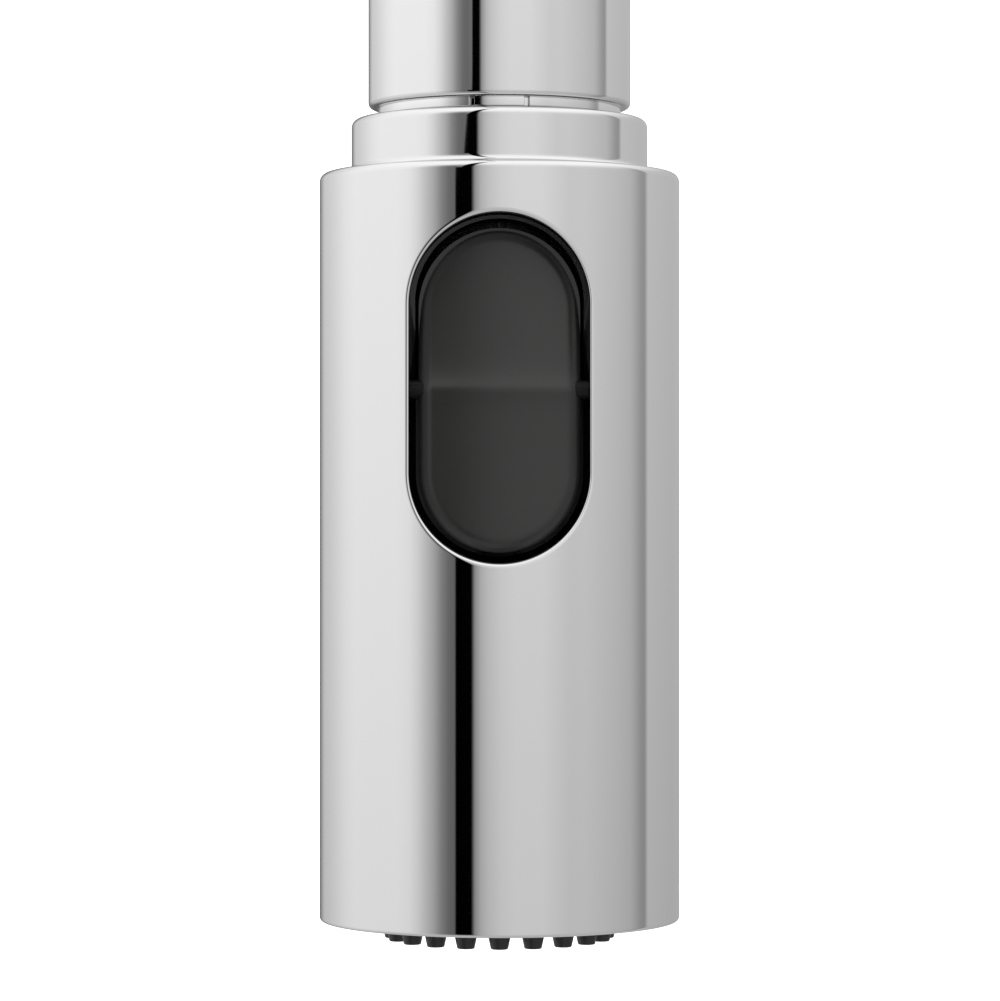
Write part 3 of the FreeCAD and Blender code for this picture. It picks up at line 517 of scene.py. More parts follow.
# name, slot, colour, surface, metallic, roughness, spread, grain in mm, depth in mm
FINISHES = [
    # decorative chrome plate over polished brass: neutral, mirror-sharp reflections, no grain
    Finish("chrome_plate", "chrome", "#c8c7c8", POLISHED, 1.0, 0.035, 0.008, 6.0, 0.0003, mottle=0.004),
    # chrome over bright nickel on a turned ring: a shade lighter and a little softer than the shells
    Finish(
        "bright_nickel_chrome", "bright_ring", "#cfcfcf", TURNED, 1.0, 0.06, 0.02, 0.3, 0.0004, mottle=0.01
    ),
    # bare brass off the lathe: warm yellow, with fine rings that spread the highlights
    Finish("turned_brass", "brass", "#c9a25c", TURNED, 1.0, 0.26, 0.06, 0.35, 0.004, mottle=0.05),
    # drawn copper pipe: orange-brown, cloudy in patches
    Finish("drawn_copper", "copper", "#c07a55", POLISHED, 1.0, 0.24, 0.08, 1.5, 0.004, mottle=0.08),
    # turned stainless steel: cool grey with fine rings
    Finish("stainless_steel", "steel", "#b9b9b8", TURNED, 1.0, 0.22, 0.05, 0.25, 0.003, mottle=0.03),
    # steel blackened with oxide: near black, with a dull metal sheen
    Finish("black_oxide_steel", "black_steel", "#242424", TURNED, 0.8, 0.42, 0.05, 0.25, 0.003, mottle=0.08),
    # zinc-plated pressed steel: pale, slightly blotchy grey
    Finish("zinc_plated_steel", "zinc_steel", "#c3c4c0", GROUND, 1.0, 0.32, 0.08, 0.6, 0.005, mottle=0.08),
    # sintered ferrite, ground flat: dark charcoal with a faint shine
    Finish("sintered_ferrite", "magnet", "#2c2c2e", GROUND, 0.3, 0.45, 0.06, 0.4, 0.005, mottle=0.1),
    # braided nylon: dark grey strands drawn 3.4 mm apart, coarser than real, to show, with painted shade
    # darker in the gaps and lighter on the strands' tops
    Finish("braided_nylon_sleeve", "hose_braid", "#3a3b3d", BRAIDED, 0.0, 0.42, 0.05, 3.4, 0.35, mottle=0.65),
    # moulded neoprene: matt black with a fine tooth; the washer's is a shade greyer and coarser
    Finish("neoprene_gasket", "gasket_rubber", "#1b1b1b", SPARKED, 0.0, 0.62, 0.05, 0.4, 0.02, mottle=0.12),
    Finish("neoprene_washer", "washer_rubber", "#1f1e1e", SPARKED, 0.0, 0.66, 0.05, 0.5, 0.03, mottle=0.12),
    # nitrile O-rings: deep black, smooth and faintly oily
    Finish("nitrile_o_ring", "seal_rubber", "#141414", MOULDED, 0.0, 0.38, 0.05, 0.8, 0.003, mottle=0.08),
    # soft silicone: dark brown-black, slightly silky from the mould
    Finish("silicone_rubber", "nozzle_rubber", "#120d0b", MOULDED, 0.0, 0.42, 0.05, 0.35, 0.006, 1.43, 0.10),
    # fine spark-eroded ABS: black with a faint warm cast and a soft wide highlight
    Finish("black_abs", "rocker_black", "#171615", SPARKED, 0.0, 0.36, 0.03, 0.12, 0.003, 1.5, 0.10),
    # glass-filled acetal: mid grey, dull, with a slight flow grain
    Finish("glass_filled_pom", "core_plastic", "#4a4c4e", MOULDED, 0.0, 0.5, 0.06, 0.5, 0.01, mottle=0.10),
    # grey acetal from a spark-eroded mould: dark grey, evenly matt
    Finish("grey_acetal", "face_plastic", "#3b3b3d", SPARKED, 0.0, 0.40, 0.04, 0.15, 0.006, mottle=0.10),
    # natural acetal: milky off-white; the white grade is whiter and glossier
    Finish("natural_pom", "bush_plastic", "#dcd9cf", MOULDED, 0.0, 0.42, 0.05, 0.7, 0.006, mottle=0.04),
    Finish("white_pom", "white_plastic", "#e4e3de", MOULDED, 0.0, 0.30, 0.05, 0.7, 0.004, mottle=0.03),
    # lapped alumina: warm white, glassy where the discs slide
    Finish("lapped_alumina", "ceramic", "#efece4", POLISHED, 0.0, 0.12, 0.03, 0.4, 0.001, 1.76, 0.03),
]


class Wardrobe:
    """Keeps one material per slot and dresses pieces."""

    def __init__(self) -> None:
        """Builds every finish's material."""
        self.finish = {f.slot: f for f in FINISHES}
        self.made = {f.slot: f.material() for f in FINISHES}

    def dress(self, piece: bpy.types.Object, slot: str, material: bpy.types.Material | None = None) -> None:
        """Puts a material on a whole piece.

        Args:
            piece: the object.
            slot: the slot that gives the material.
            material: a material to use in its place.
        """
        piece.data.materials.clear()
        piece.data.materials.append(material or self.made[slot])


@dataclass
class Workshop:
    """What every sub-assembly needs: the frame, the wardrobe and a way to hand over a finished piece."""

    frame: dict
    wardrobe: Wardrobe = field(default_factory=Wardrobe)
    done: set[str] = field(default_factory=set)

    def slot_of(self, node: str) -> str:
        """Looks a node's slot up in the record.

        Args:
            node: the CAD node's name.

        Returns:
            The material slot.
        """
        for entry in self.frame["record"]["subparts"]:
            if entry["node"] == node:
                return entry["material_slot"]
        raise KeyError(node)

    def body_of(self, node: str) -> str:
        """Looks a node's body up in the record.

        Args:
            node: the CAD node's name.

        Returns:
            The body.
        """
        for body, nodes in self.frame["record"]["behaviour"]["bodies"].items():
            if node in nodes:
                return body
        raise KeyError(node)

    def deliver(
        self, piece: bpy.types.Object, node: str, material: bpy.types.Material | None = None, ride: bool = True
    ) -> None:
        """Dresses a finished piece, seats it on its body and puts it in place of its CAD node.

        Args:
            piece: the new object.
            node: the CAD node that it stands for.
            material: its own material, or None for the slot's.
            ride: False where the piece bends between two bodies.
        """
        slot = self.slot_of(node)
        self.wardrobe.dress(piece, slot, material)
        if ride:
            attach(piece, self.body_of(node))
        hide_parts(node)
        self.done.add(node)
        LOG.info("%s: %d faces", piece.name, len(piece.data.polygons))


def box_mm(node: str) -> tuple[Array, Array]:
    """Measures a CAD node.

    Args:
        node: the node's name.

    Returns:
        Its box's lowest and highest corners in millimetres.
    """
    lo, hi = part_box(node)
    return np.array(lo) / MM, np.array(hi) / MM


# ------------------------------------------------------------------ tube with a side opening
@dataclass
class SidePort:
    """An upright tube with one round-ended opening or branch on its side, as a closed solid.

    Each place is (across, up) on the tube's unrolled skin. A frame of straight lines runs from the
    opening's outline to the sector's straight border, and the throat carries the outline in or out along the
    port's axis.

    Attributes:
        outer, inner: the tube's two radii.
        width, height: the outline on the outer skin, across and up.
        width_in, height_in: the outline on the inner skin.
        centre: the outline's height.
        sector: half the angle of the front sector, in radians.
        low, high: the sector's lowest and highest edges.
        roll: radius of the rounding between skin and throat.
        outward: 1 for a branch that leaves the skin, -1 for an opening that goes in.
        throat: (width, height, depth) stations along the port's axis, from outer to inner skin.
        across_steps: columns across the opening.
        up_steps: columns up each of its sides.
    """

    outer: float
    inner: float
    width: float
    height: float
    width_in: float
    height_in: float
    centre: float
    sector: float
    low: float
    high: float
    roll: float
    outward: int
    throat: Sequence[tuple[float, float, float]]
    across_steps: int = 44
    up_steps: int = 100

    def outline(self, width: float, height: float) -> Array:
        """Walks a round-ended outline in step with the sector's border.

        The foot and head arcs between their 45 degree points go with the border's foot and head, and each
        side, of a straight and two eighth arcs, goes with a border side, by length.

        Args:
            width: full width.
            height: full height.

        Returns:
            (across, up) of each point, the last the same as the first.
        """
        r, half = width / 2, (height - width) / 2
        eighth = r * math.pi / 4
        side = 2 * eighth + 2 * half
        foot = np.radians(np.linspace(225, 315, self.across_steps + 1))
        head = np.radians(np.linspace(45, 135, self.across_steps + 1))
        s = np.linspace(0, side, self.up_steps + 1)
        low_part = s < eighth
        high_part = s > side - eighth
        angle = np.where(low_part, -np.pi / 4 + s / r, np.where(high_part, (s - (side - eighth)) / r, 0.0))
        rise = np.where(low_part, -half, np.where(high_part, half, s - eighth - half))
        right = np.stack([r * np.cos(angle), self.centre + rise + r * np.sin(angle)], -1)
        bottom = np.stack([r * np.cos(foot), self.centre - half + r * np.sin(foot)], -1)
        top = np.stack([r * np.cos(head), self.centre + half + r * np.sin(head)], -1)
        left = right[::-1] * np.array([-1.0, 1.0])
        return np.concatenate([bottom[:-1], right[:-1], top[:-1], left])

    def border(self) -> Array:
        """Walks the sector's border.

        Returns:
            (angle, up) of each point, the last the same as the first.
        """
        a = np.linspace(-self.sector, self.sector, self.across_steps + 1)
        z = np.linspace(self.low, self.high, self.up_steps + 1)
        bottom = np.stack([a, np.full_like(a, self.low)], -1)
        right = np.stack([np.full_like(z, self.sector), z], -1)
        top = np.stack([a[::-1], np.full_like(a, self.high)], -1)
        left = np.stack([np.full_like(z, -self.sector), z[::-1]], -1)
        return np.concatenate([bottom[:-1], right[:-1], top[:-1], left])

    def sheet(self, radius: float, start: Array, rows: int, sign: int) -> tuple[Array, Array]:
        """Runs straight lines on the unrolled skin from an outline to the border.

        Place is R sin a across, R cos a out and up as is, with normals straight out from the axis.

        Args:
            radius: the skin's radius.
            start: (angle, up) of the outline's points.
            rows: rows of points.
            sign: 1 for an outer skin, -1 for an inner one.

        Returns:
            Points and normals, rows by columns by 3, as (across, out, up).
        """
        t = (np.linspace(0, 1, rows) ** 1.6)[:, None, None]
        flat = start * (1 - t) + self.border() * t
        a, up = flat[..., 0], flat[..., 1]
        points = np.stack([radius * np.sin(a), radius * np.cos(a), up], -1)
        normals = sign * np.stack([np.sin(a), np.cos(a), np.zeros_like(a)], -1)
        return points, normals

    def lip(self, ring: Array) -> tuple[Array, Array]:
        """Rounds the edge between the skin and the throat.

        A quadratic curve starts on the skin one roll outside the outline, heads for the outline's own point
        and ends one roll along the throat's wall.

        Args:
            ring: (across, up) of the outline.

        Returns:
            The curve's points, and the (angle, up) where it starts.
        """
        angle = np.arcsin(ring[:, 0] / self.outer)
        unrolled = np.stack([self.outer * angle, ring[:, 1]], -1)
        step = np.roll(unrolled[:-1], -1, axis=0) - np.roll(unrolled[:-1], 1, axis=0)
        step = unit(np.concatenate([step, step[:1]]))
        away = np.stack([step[:, 1], -step[:, 0]], -1)
        begin = unrolled + away * self.roll
        begin_angle = begin[:, 0] / self.outer
        first = np.stack([self.outer * np.sin(begin_angle), self.outer * np.cos(begin_angle), begin[:, 1]], -1)
        corner = np.stack([ring[:, 0], self.outer * np.cos(angle), ring[:, 1]], -1)
        last = corner + np.array([0, self.outward * self.roll, 0])
        t = np.linspace(0, 1, 13)[:, None, None]
        curve = first * (1 - t) ** 2 + 2 * corner * t * (1 - t) + last * t**2
        return curve, np.stack([begin_angle, begin[:, 1]], -1)

    def build(self, above: Outline, below: Outline, back_steps: int = 96) -> Skin:
        """Joins the front sector, the throat, the back sector and the turned ends.

        Args:
            above: the turned profile over the sector, from the outer to the inner skin.
            below: the turned profile under it, from the inner to the outer skin.
            back_steps: columns round the back.

        Returns:
            The closed solid, in metres, with the port facing +Y.
        """
        ring_in = self.outline(self.width_in, self.height_in)
        curve, begin = self.lip(self.outline(self.width, self.height))
        outer_points, outer_normals = self.sheet(self.outer, begin, 22, 1)
        rows = [curve[1:]]
        for width, height, depth in self.throat:
            ring = self.outline(width, height)
            rows.append(np.stack([ring[:, 0], np.full(len(ring), depth), ring[:, 1]], -1)[None])
        in_angle = np.arcsin(ring_in[:, 0] / self.inner)
        rows.append(np.stack([ring_in[:, 0], self.inner * np.cos(in_angle), ring_in[:, 1]], -1)[None])
        strip = np.concatenate([curve[:1]] + rows)
        strip_normals = grid_normals(strip)
        strip_normals[0] = outer_normals[0]
        inner_points, inner_normals = self.sheet(self.inner, np.stack([in_angle, ring_in[:, 1]], -1), 6, -1)
        # the strip's own normals face away from the solid once they agree with the skin's at the lip
        agree = np.sign(np.einsum("ij,ij->i", strip_normals[1], outer_normals[0]).mean())
        strip_normals[1:] *= agree
        skins = [
            Skin.from_grid(outer_points * MM, outer_normals),
            Skin.from_grid(strip * MM, strip_normals),
            Skin.from_grid(inner_points * MM, inner_normals),
        ]
        around = np.linspace(self.sector, 2 * np.pi - self.sector, back_steps + 1)
        up = np.linspace(self.low, self.high, self.up_steps + 1)
        for radius, sign in ((self.outer, 1), (self.inner, -1)):
            a, z = np.meshgrid(around, up)
            points = np.stack([radius * np.sin(a), radius * np.cos(a), z], -1) * MM
            normals = sign * np.stack([np.sin(a), np.cos(a), np.zeros_like(a)], -1)
            skins.append(Skin.from_grid(points, normals))
        front = np.linspace(-self.sector, self.sector, self.across_steps + 1)
        every = np.pi / 2 - np.concatenate([front, around[1:]])
        skins += [above.turned(angles=every), below.turned(angles=every)]
        return together(skins)


def grid_normals(points: Array) -> Array:
    """Normals of a grid whose columns close on themselves: the cross product of its two slopes.

    Along the rows each slope is the mean of the unit steps before and after, so a hard turn is shared evenly.

    Args:
        points: rows by columns by 3.

    Returns:
        The same shape.
    """
    closed = points[:, :-1]
    across = np.roll(closed, -1, axis=1) - np.roll(closed, 1, axis=1)
    steps = unit(np.diff(closed, axis=0))
    down = np.concatenate([steps[:1], (steps[:-1] + steps[1:]) / 2, steps[-1:]])
    normals = unit(np.cross(across, down))
    return np.concatenate([normals, normals[:, :1]], axis=1)


# ------------------------------------------------------------------ spray head
@dataclass
class SprayHead:
    """The chrome shell and collar, the rocker in its recess, and the ring of rubber nozzles.

    Sizes are in millimetres, heights from the head's lower rim, and angles in degrees.
    """

    shop: Workshop
    wall: float = 1.6
    foot_round: float = 0.64
    shoulder_round: float = 1.56
    neck_hole: float = 10.4
    recess_width: float = 23.2
    recess_height: float = 44.8
    recess_centre: float = 70.25
    recess_taper: float = 0.8
    recess_sector: float = 42.0
    well_wall: float = 1.5
    well_back: float = 14.0
    lip_roll: float = 0.7
    collar_tall: float = 7.25
    collar_round: float = 1.1
    cove: float = 1.9
    neck_root: float = 13.0
    neck_tip: float = 10.6
    neck_tall: float = 15.0
    rocker_sink: float = 3.0
    rocker_thick: float = 5.0
    rocker_tilt: float = 8.0
    rocker_crown: float = 37.0
    rocker_edge: float = 2.0
    scoop_up: float = 0.80
    scoop_down: float = 0.40
    nozzles: int = 20
    nozzle_ring: float = 14.15
    nozzle_tip: float = 1.12
    nozzle_root: float = 1.64
    nozzle_out: float = 2.45
    jet_bore: float = 0.45
    mat_inner: float = 10.6
    mat_margin: float = 3.0
    mat_low: float = 2.35
    mat_high: float = 3.9

    def __post_init__(self) -> None:
        """Takes the head's place and size from its CAD shell."""
        lo, hi = box_mm("head_shell")
        self.axis = ((lo + hi) / 2)[:2]
        self.radius = (hi[0] - lo[0]) / 2
        self.tall = hi[2] - lo[2]
        self.offset = np.array([*self.axis, lo[2]]) * MM
        self.front = np.array([[-1.0, 0, 0], [0, -1.0, 0], [0, 0, 1.0]])

    def shell(self) -> None:
        """Builds the shell: a tube with rounded ends and the rocker's recess, walls and all."""
        r, inner, h = self.radius, self.radius - self.wall, self.tall
        narrow = (self.recess_width - 2 * self.recess_taper, self.recess_height - 2 * self.recess_taper)
        wide = (self.recess_width + 2 * self.well_wall, self.recess_height + 2 * self.well_wall)
        side_depth = math.sqrt(r**2 - (self.recess_width / 2) ** 2) - self.lip_roll
        full = (self.recess_width, self.recess_height)
        throat = [
            (*full, side_depth - 0.05),
            (*full, side_depth - 0.4),
            (full[0] - 0.1, full[1] - 0.1, side_depth - 0.7),
            (narrow[0] + 0.1, narrow[1] + 0.1, side_depth - 3.0),
            (*narrow, side_depth - 3.3),
            (*narrow, self.well_back + 0.1),
            (narrow[0] + 0.2, narrow[1] + 0.2, self.well_back),
            (wide[0] - 0.2, wide[1] - 0.2, self.well_back),
            (*wide, self.well_back + 0.1),
        ]
        low, high = 1.0, h - 2.2
        sector = math.radians(self.recess_sector)
        centre, lip = self.recess_centre, self.lip_roll
        port = SidePort(r, inner, *full, *wide, centre, sector, low, high, lip, -1, throat)
        hole, ceiling = self.neck_hole, h - 2
        above = Outline.rounded(
            [
                (r, high),
                (r, h, self.shoulder_round),
                (hole, h, 0.2),
                (hole, ceiling, 0.2),
                (inner, ceiling, 0.1),
                (inner, high),
            ],
            closed=False,
        )
        below = Outline.rounded(
            [(inner, low), (inner, 0.0, 0.35), (r, 0.0, self.foot_round), (r, low)], closed=False
        )
        piece = port.build(above, below).moved(self.front, self.offset).object("head_shell_chrome")
        self.shop.deliver(piece, "head_shell")

    def collar(self) -> None:
        """Turns the collar with its docking cone from one closed profile."""
        lo, hi = box_mm("head_collar")
        r, low = (hi[0] - lo[0]) / 2, self.tall
        top = low + self.collar_tall
        neck = top + self.neck_tall
        profile = Outline.rounded(
            [
                # the spigot in the shell's neck hole, out over the shoulder, and up through the cove
                (9.3, low - 1.9),
                (10.3, low - 1.9),
                (10.3, low + 0.02),
                (r + self.cove + 0.15, low + 0.02, 0.05),
                (r + self.cove + 0.1, low + 0.1, 0.05),
                (r, low + 0.1, self.cove),
                (r, top, self.collar_round),
                # the docking cone
                (self.neck_root, top, 0.3),
                (self.neck_root, top + 2, 0.3),
                (self.neck_tip, neck, 0.8),
                (8.6, neck, 0.2),
                # the stepped bore round the hose end
                (8.6, top + 9),
                (7.06, top + 9),
                (7.06, low + 2.0),
                (9.3, low + 2.0),
            ]
        )
        piece = profile.turned(176).moved(UPRIGHT, self.offset).object("head_collar_chrome")
        self.shop.deliver(piece, "head_collar")

    def rocker(self) -> None:
        """Builds the rocker: a round-ended button with two scooped halves that meet in a soft ridge.

        Rings run inwards from the outline. A point's depth behind the crest is the upper half's slope, the
        crown's x squared over twice its radius, a scoop that levels off away from the ridge, and a rolled rim.
        """
        lo, hi = box_mm("rocker")
        width, height = hi[0] - lo[0], hi[2] - lo[2]
        mid = (lo[2] + hi[2]) / 2
        crest = self.axis[1] - self.radius + self.rocker_sink
        slope = math.tan(math.radians(self.rocker_tilt))
        r, half = width / 2, (height - width) / 2
        turn = np.linspace(0, np.pi, 61)
        side = np.linspace(-half, half, 45)[1:-1]
        # over the top arc, down the left side, round the foot arc, up the right side
        down, up = np.full_like(side, np.pi), np.full_like(side, 2 * np.pi)
        angle = np.concatenate([turn, down, turn + np.pi, up, [0.0]])
        head, foot = np.full_like(turn, half), np.full_like(turn, -half)
        middle = np.concatenate([head, side[::-1], foot, side, [half]])
        border = self.rocker_edge
        rim_rings = border * np.linspace(1, 0, 26) ** 1.7
        inside = np.concatenate([np.linspace(r, border, 18, endpoint=False), rim_rings])
        deep, a = np.meshgrid(inside, angle, indexing="ij")
        x = (r - deep) * np.cos(a)
        z = middle + (r - deep) * np.sin(a)
        away = np.sqrt(z**2 + 0.5**2) - 0.5
        fall = np.where(z > 0, z * slope, 0.0) + x**2 / (2 * self.rocker_crown)
        above = self.scoop_up * (1 - np.exp(-away / 1.5))
        below = self.scoop_down * (1 - np.exp(-away / 1.1))
        roll = 0.55 * border * (1 - np.clip(deep / border, 0, 1)) ** 2.3
        y = crest + fall + np.where(z > 0, above, below) + roll
        back = crest + self.rocker_thick
        front = np.stack([x, np.minimum(y, back - 0.6), mid + z], -1)
        low_edge, foot_edge = front[-1].copy(), front[-1].copy()
        low_edge[:, 1], foot_edge[:, 1] = back - 0.4, back
        spine = np.stack([np.zeros_like(middle), np.full_like(middle, back), mid + middle], -1)
        grid = np.concatenate([front, np.stack([low_edge, foot_edge, spine])])
        skin = Skin.from_grid(grid * MM, np.zeros_like(grid))
        piece = skin_without_normals(skin, "rocker_button", 50.0)
        tongue = box_piece("tongue", (-2.0, back - 1.0, mid - 1.1), (2.0, hi[1], mid + 1.1))
        piece = join_pieces([piece, tongue], "rocker_button")
        self.shop.deliver(piece, "rocker")

    def nozzle_mat(self) -> None:
        """Turns one tapered nozzle with a drilled tip, and sets it round the ring on its mat."""
        out, bore, root_z = self.nozzle_out, self.jet_bore, 2.3
        root = self.nozzle_root + (self.nozzle_root - self.nozzle_tip) * root_z / out
        sides = [(bore, root_z), (bore, -out, 0.12), (self.nozzle_tip, -out, 0.22), (root, root_z)]
        one = Outline.rounded(sides, closed=False, steps=5).turned(28)
        jet = Outline.rounded([(0.0, 0.6), (bore, 0.6)], closed=False).turned(28)
        shaft = together([one, jet])
        turns = np.arange(self.nozzles) * 2 * np.pi / self.nozzles - np.pi / 2
        skins = []
        for turn in turns:
            place = self.nozzle_ring * np.array([math.cos(turn), math.sin(turn), 0.0]) * MM
            skins.append(shaft.moved(UPRIGHT, place))
        inner, outer = self.mat_inner, self.nozzle_ring + self.mat_margin
        low, high = self.mat_low, self.mat_high
        mat = Outline.rounded([(inner, low), (outer, low), (outer, high), (inner, high)])
        skins.append(mat.turned(96))
        piece = together(skins).moved(UPRIGHT, self.offset).object("nozzle_ring_rubber")
        self.shop.deliver(piece, "nozzle_mat")

    def build(self) -> None:
        """Makes every piece of the head."""
        self.shell()
        self.collar()
        self.rocker()
        self.nozzle_mat()


def skin_without_normals(skin: Skin, name: str, sharp_degrees: float) -> bpy.types.Object:
    """Makes a welded object whose shading follows its own faces.

    Args:
        skin: the mesh, whose normals are set to zero.
        name: the object's name.
        sharp_degrees: edges over this angle stay sharp.

    Returns:
        The object, linked to the scene.
    """
    skin.normals[:] = 0
    welded = skin.welded()
    mesh = bpy.data.meshes.new(name)
    mesh.from_pydata(welded.points.tolist(), [], welded.triangles.tolist())
    mesh.update()
    work = bmesh.new()
    work.from_mesh(mesh)
    bmesh.ops.recalc_face_normals(work, faces=work.faces)
    work.to_mesh(mesh)
    work.free()
    mesh.shade_smooth()
    mesh.set_sharp_from_angle(angle=math.radians(sharp_degrees))
    return placed(name, mesh)


def box_piece(name: str, low: Sequence[float], high: Sequence[float]) -> bpy.types.Object:
    """Makes a plain block.

    Args:
        name: the object's name.
        low, high: its two far corners in millimetres.

    Returns:
        The object, linked to the scene.
    """
    x, y, z = np.meshgrid(*[np.array([a, b]) * MM for a, b in zip(low, high)], indexing="ij")
    points = np.stack([x.ravel(), y.ravel(), z.ravel()], -1)
    faces = [(0, 1, 3, 2), (4, 6, 7, 5), (0, 4, 5, 1), (2, 3, 7, 6), (0, 2, 6, 4), (1, 5, 7, 3)]
    mesh = bpy.data.meshes.new(name)
    mesh.from_pydata(points.tolist(), [], faces)
    return placed(name, mesh)


def join_pieces(parts: Sequence[bpy.types.Object], name: str) -> bpy.types.Object:
    """Joins objects that sit at the origin into the first one's mesh.

    Args:
        parts: the objects; all but the first are removed.
        name: the joined object's name.

    Returns:
        The joined object.
    """
    work = bmesh.new()
    for part in parts:
        work.from_mesh(part.data)
    mesh = parts[0].data
    work.to_mesh(mesh)
    work.free()
    for part in parts[1:]:
        bpy.data.objects.remove(part)
    parts[0].name = name
    return parts[0]


# ------------------------------------------------------------------ spout
@dataclass
class Spout:
    """The gooseneck tube with its rounded end, and the bright dock ring under it.

    Sizes are in millimetres.
    """

    shop: Workshop
    wall: float = 1.5
    key_half: float = 3.3
    key_notch: float = 0.6
    key_out: float = 0.12
    notch_in: float = 0.5
    ring_round: float = 0.22
    end_round: float = 1.1
    end_gap: float = 8.75

    def __post_init__(self) -> None:
        """Takes the tube's sizes from the CAD nodes."""
        lo, hi = box_mm("spout_tube")
        self.radius = (hi[0] - lo[0]) / 2
        self.reach = -lo[1] - self.radius
        self.bend = self.reach / 2
        self.crown = hi[2] - self.radius - self.bend
        self.foot = lo[2]
        self.end = box_mm("head_shell")[1][2] + self.end_gap

    def centre_line(self, s: Array) -> tuple[Array, Array]:
        """Places and directions along the tube: up the riser, half a circle forwards, down the leg.

        Args:
            s: length along the line from the riser's foot, in millimetres.

        Returns:
            Centre points and unit directions.
        """
        rise = self.crown - self.foot
        arc = math.pi * self.bend
        a = np.clip((s - rise) / self.bend, 0, math.pi)
        y = -self.bend + self.bend * np.cos(a)
        z = np.where(s < rise, self.foot + s, self.crown + self.bend * np.sin(a))
        z = np.where(s > rise + arc, self.crown - (s - rise - arc), z)
        centre = np.stack([np.zeros_like(s), y, z], -1)
        way = np.stack([np.zeros_like(s), -np.sin(a), np.cos(a)], -1)
        return centre, way

    def tube(self) -> None:
        """Carries a ring along the centre line, out along the outer wall and back along the bore."""
        rise, arc = self.crown - self.foot, math.pi * self.bend
        total = rise + arc + (self.crown - self.end)
        outer, inner = self.radius, self.radius - self.wall
        path = Outline.rounded(
            [(outer, 0.0, 0.2), (inner, 0.0, 0.2), (inner, total, 0.3), (outer, total, self.end_round)]
        )
        keep = path.points / MM
        # long straight sides get extra stations, so that the bend is smooth
        extra = np.concatenate([np.linspace(1, rise, 8), np.linspace(rise, rise + arc, 150)[1:]])
        stations, normals = [], []
        for here, after, normal in zip(keep[:-1], keep[1:], path.normals):
            stations.append(here)
            normals.append(normal)
            if abs(after[1] - here[1]) > 5:
                run = extra if after[1] > here[1] else extra[::-1]
                stations.extend(np.stack([np.full_like(run, here[0]), run], -1))
                normals.extend([normal] * len(run))
        stations.append(keep[0])
        normals.append(path.normals[0])
        st, nm = np.array(stations), np.array(normals)
        centre, way = self.centre_line(st[:, 1])
        side = np.array([1.0, 0, 0])
        third = np.cross(way, side)
        a = np.linspace(0, 2 * np.pi, 129)
        ring = np.cos(a)[None, :, None] * side + np.sin(a)[None, :, None] * third[:, None, :]
        points = centre[:, None] + st[:, 0][:, None, None] * ring
        norm = nm[:, 0][:, None, None] * ring + nm[:, 1][:, None, None] * way[:, None]
        piece = Skin.from_grid(points * MM, norm).object("spout_tube_chrome")
        self.shop.deliver(piece, "spout_tube")

    def dock_ring(self) -> None:
        """Builds the bright ring: a thin band with a key at its front between two narrow notches.

        The outer radius steps with the angle from the front: out over the key, in at each notch.
        """
        lo, hi = box_mm("dock_ring")
        r = (hi[0] - lo[0]) / 2
        key, notch, edge = self.key_half / r, (self.key_half + self.key_notch) / r, 0.006
        fine = np.linspace(key - 0.03, notch + 0.03, 40)
        face = np.linspace(-key + 0.04, key - 0.04, 16)
        rest = np.linspace(notch + 0.05, 2 * np.pi - notch - 0.05, 160)
        a = np.concatenate([-fine[::-1], face, fine, rest, [2 * np.pi - notch - 0.03]])
        off = np.abs((a + np.pi) % (2 * np.pi) - np.pi)
        on_key = np.clip((key - off) / edge + 0.5, 0, 1)
        in_notch = np.clip((off - key) / edge + 0.5, 0, 1) * np.clip((notch - off) / edge + 0.5, 0, 1)
        step = self.key_out * on_key - self.notch_in * in_notch
        low, high, soft = lo[2], hi[2], self.ring_round
        arc = np.linspace(0, np.pi / 2, 6)
        rising, falling = soft * np.sin(arc), soft * np.cos(arc)
        out = np.concatenate([[-2.2, -1.0], rising - soft, falling - soft, [-1.0, -2.2, -2.2]])
        up = np.concatenate([[low, low], low + soft - falling, high - soft + rising, [high, high, low]])
        share = np.concatenate([[0, 0], np.ones(2 * len(arc)), [0, 0, 0]])
        radius = (r + out)[:, None] + share[:, None] * step[None, :]
        tall = np.broadcast_to(up[:, None], radius.shape)
        ring = np.stack([radius * np.sin(a), -radius * np.cos(a) - self.reach, tall], -1)
        skin = Skin.from_grid(ring * MM, np.zeros_like(ring))
        piece = skin_without_normals(skin, "dock_ring_bright", 40.0)
        self.shop.deliver(piece, "dock_ring")

    def build(self) -> None:
        """Makes the spout's pieces."""
        self.dock_ring()
        self.tube()


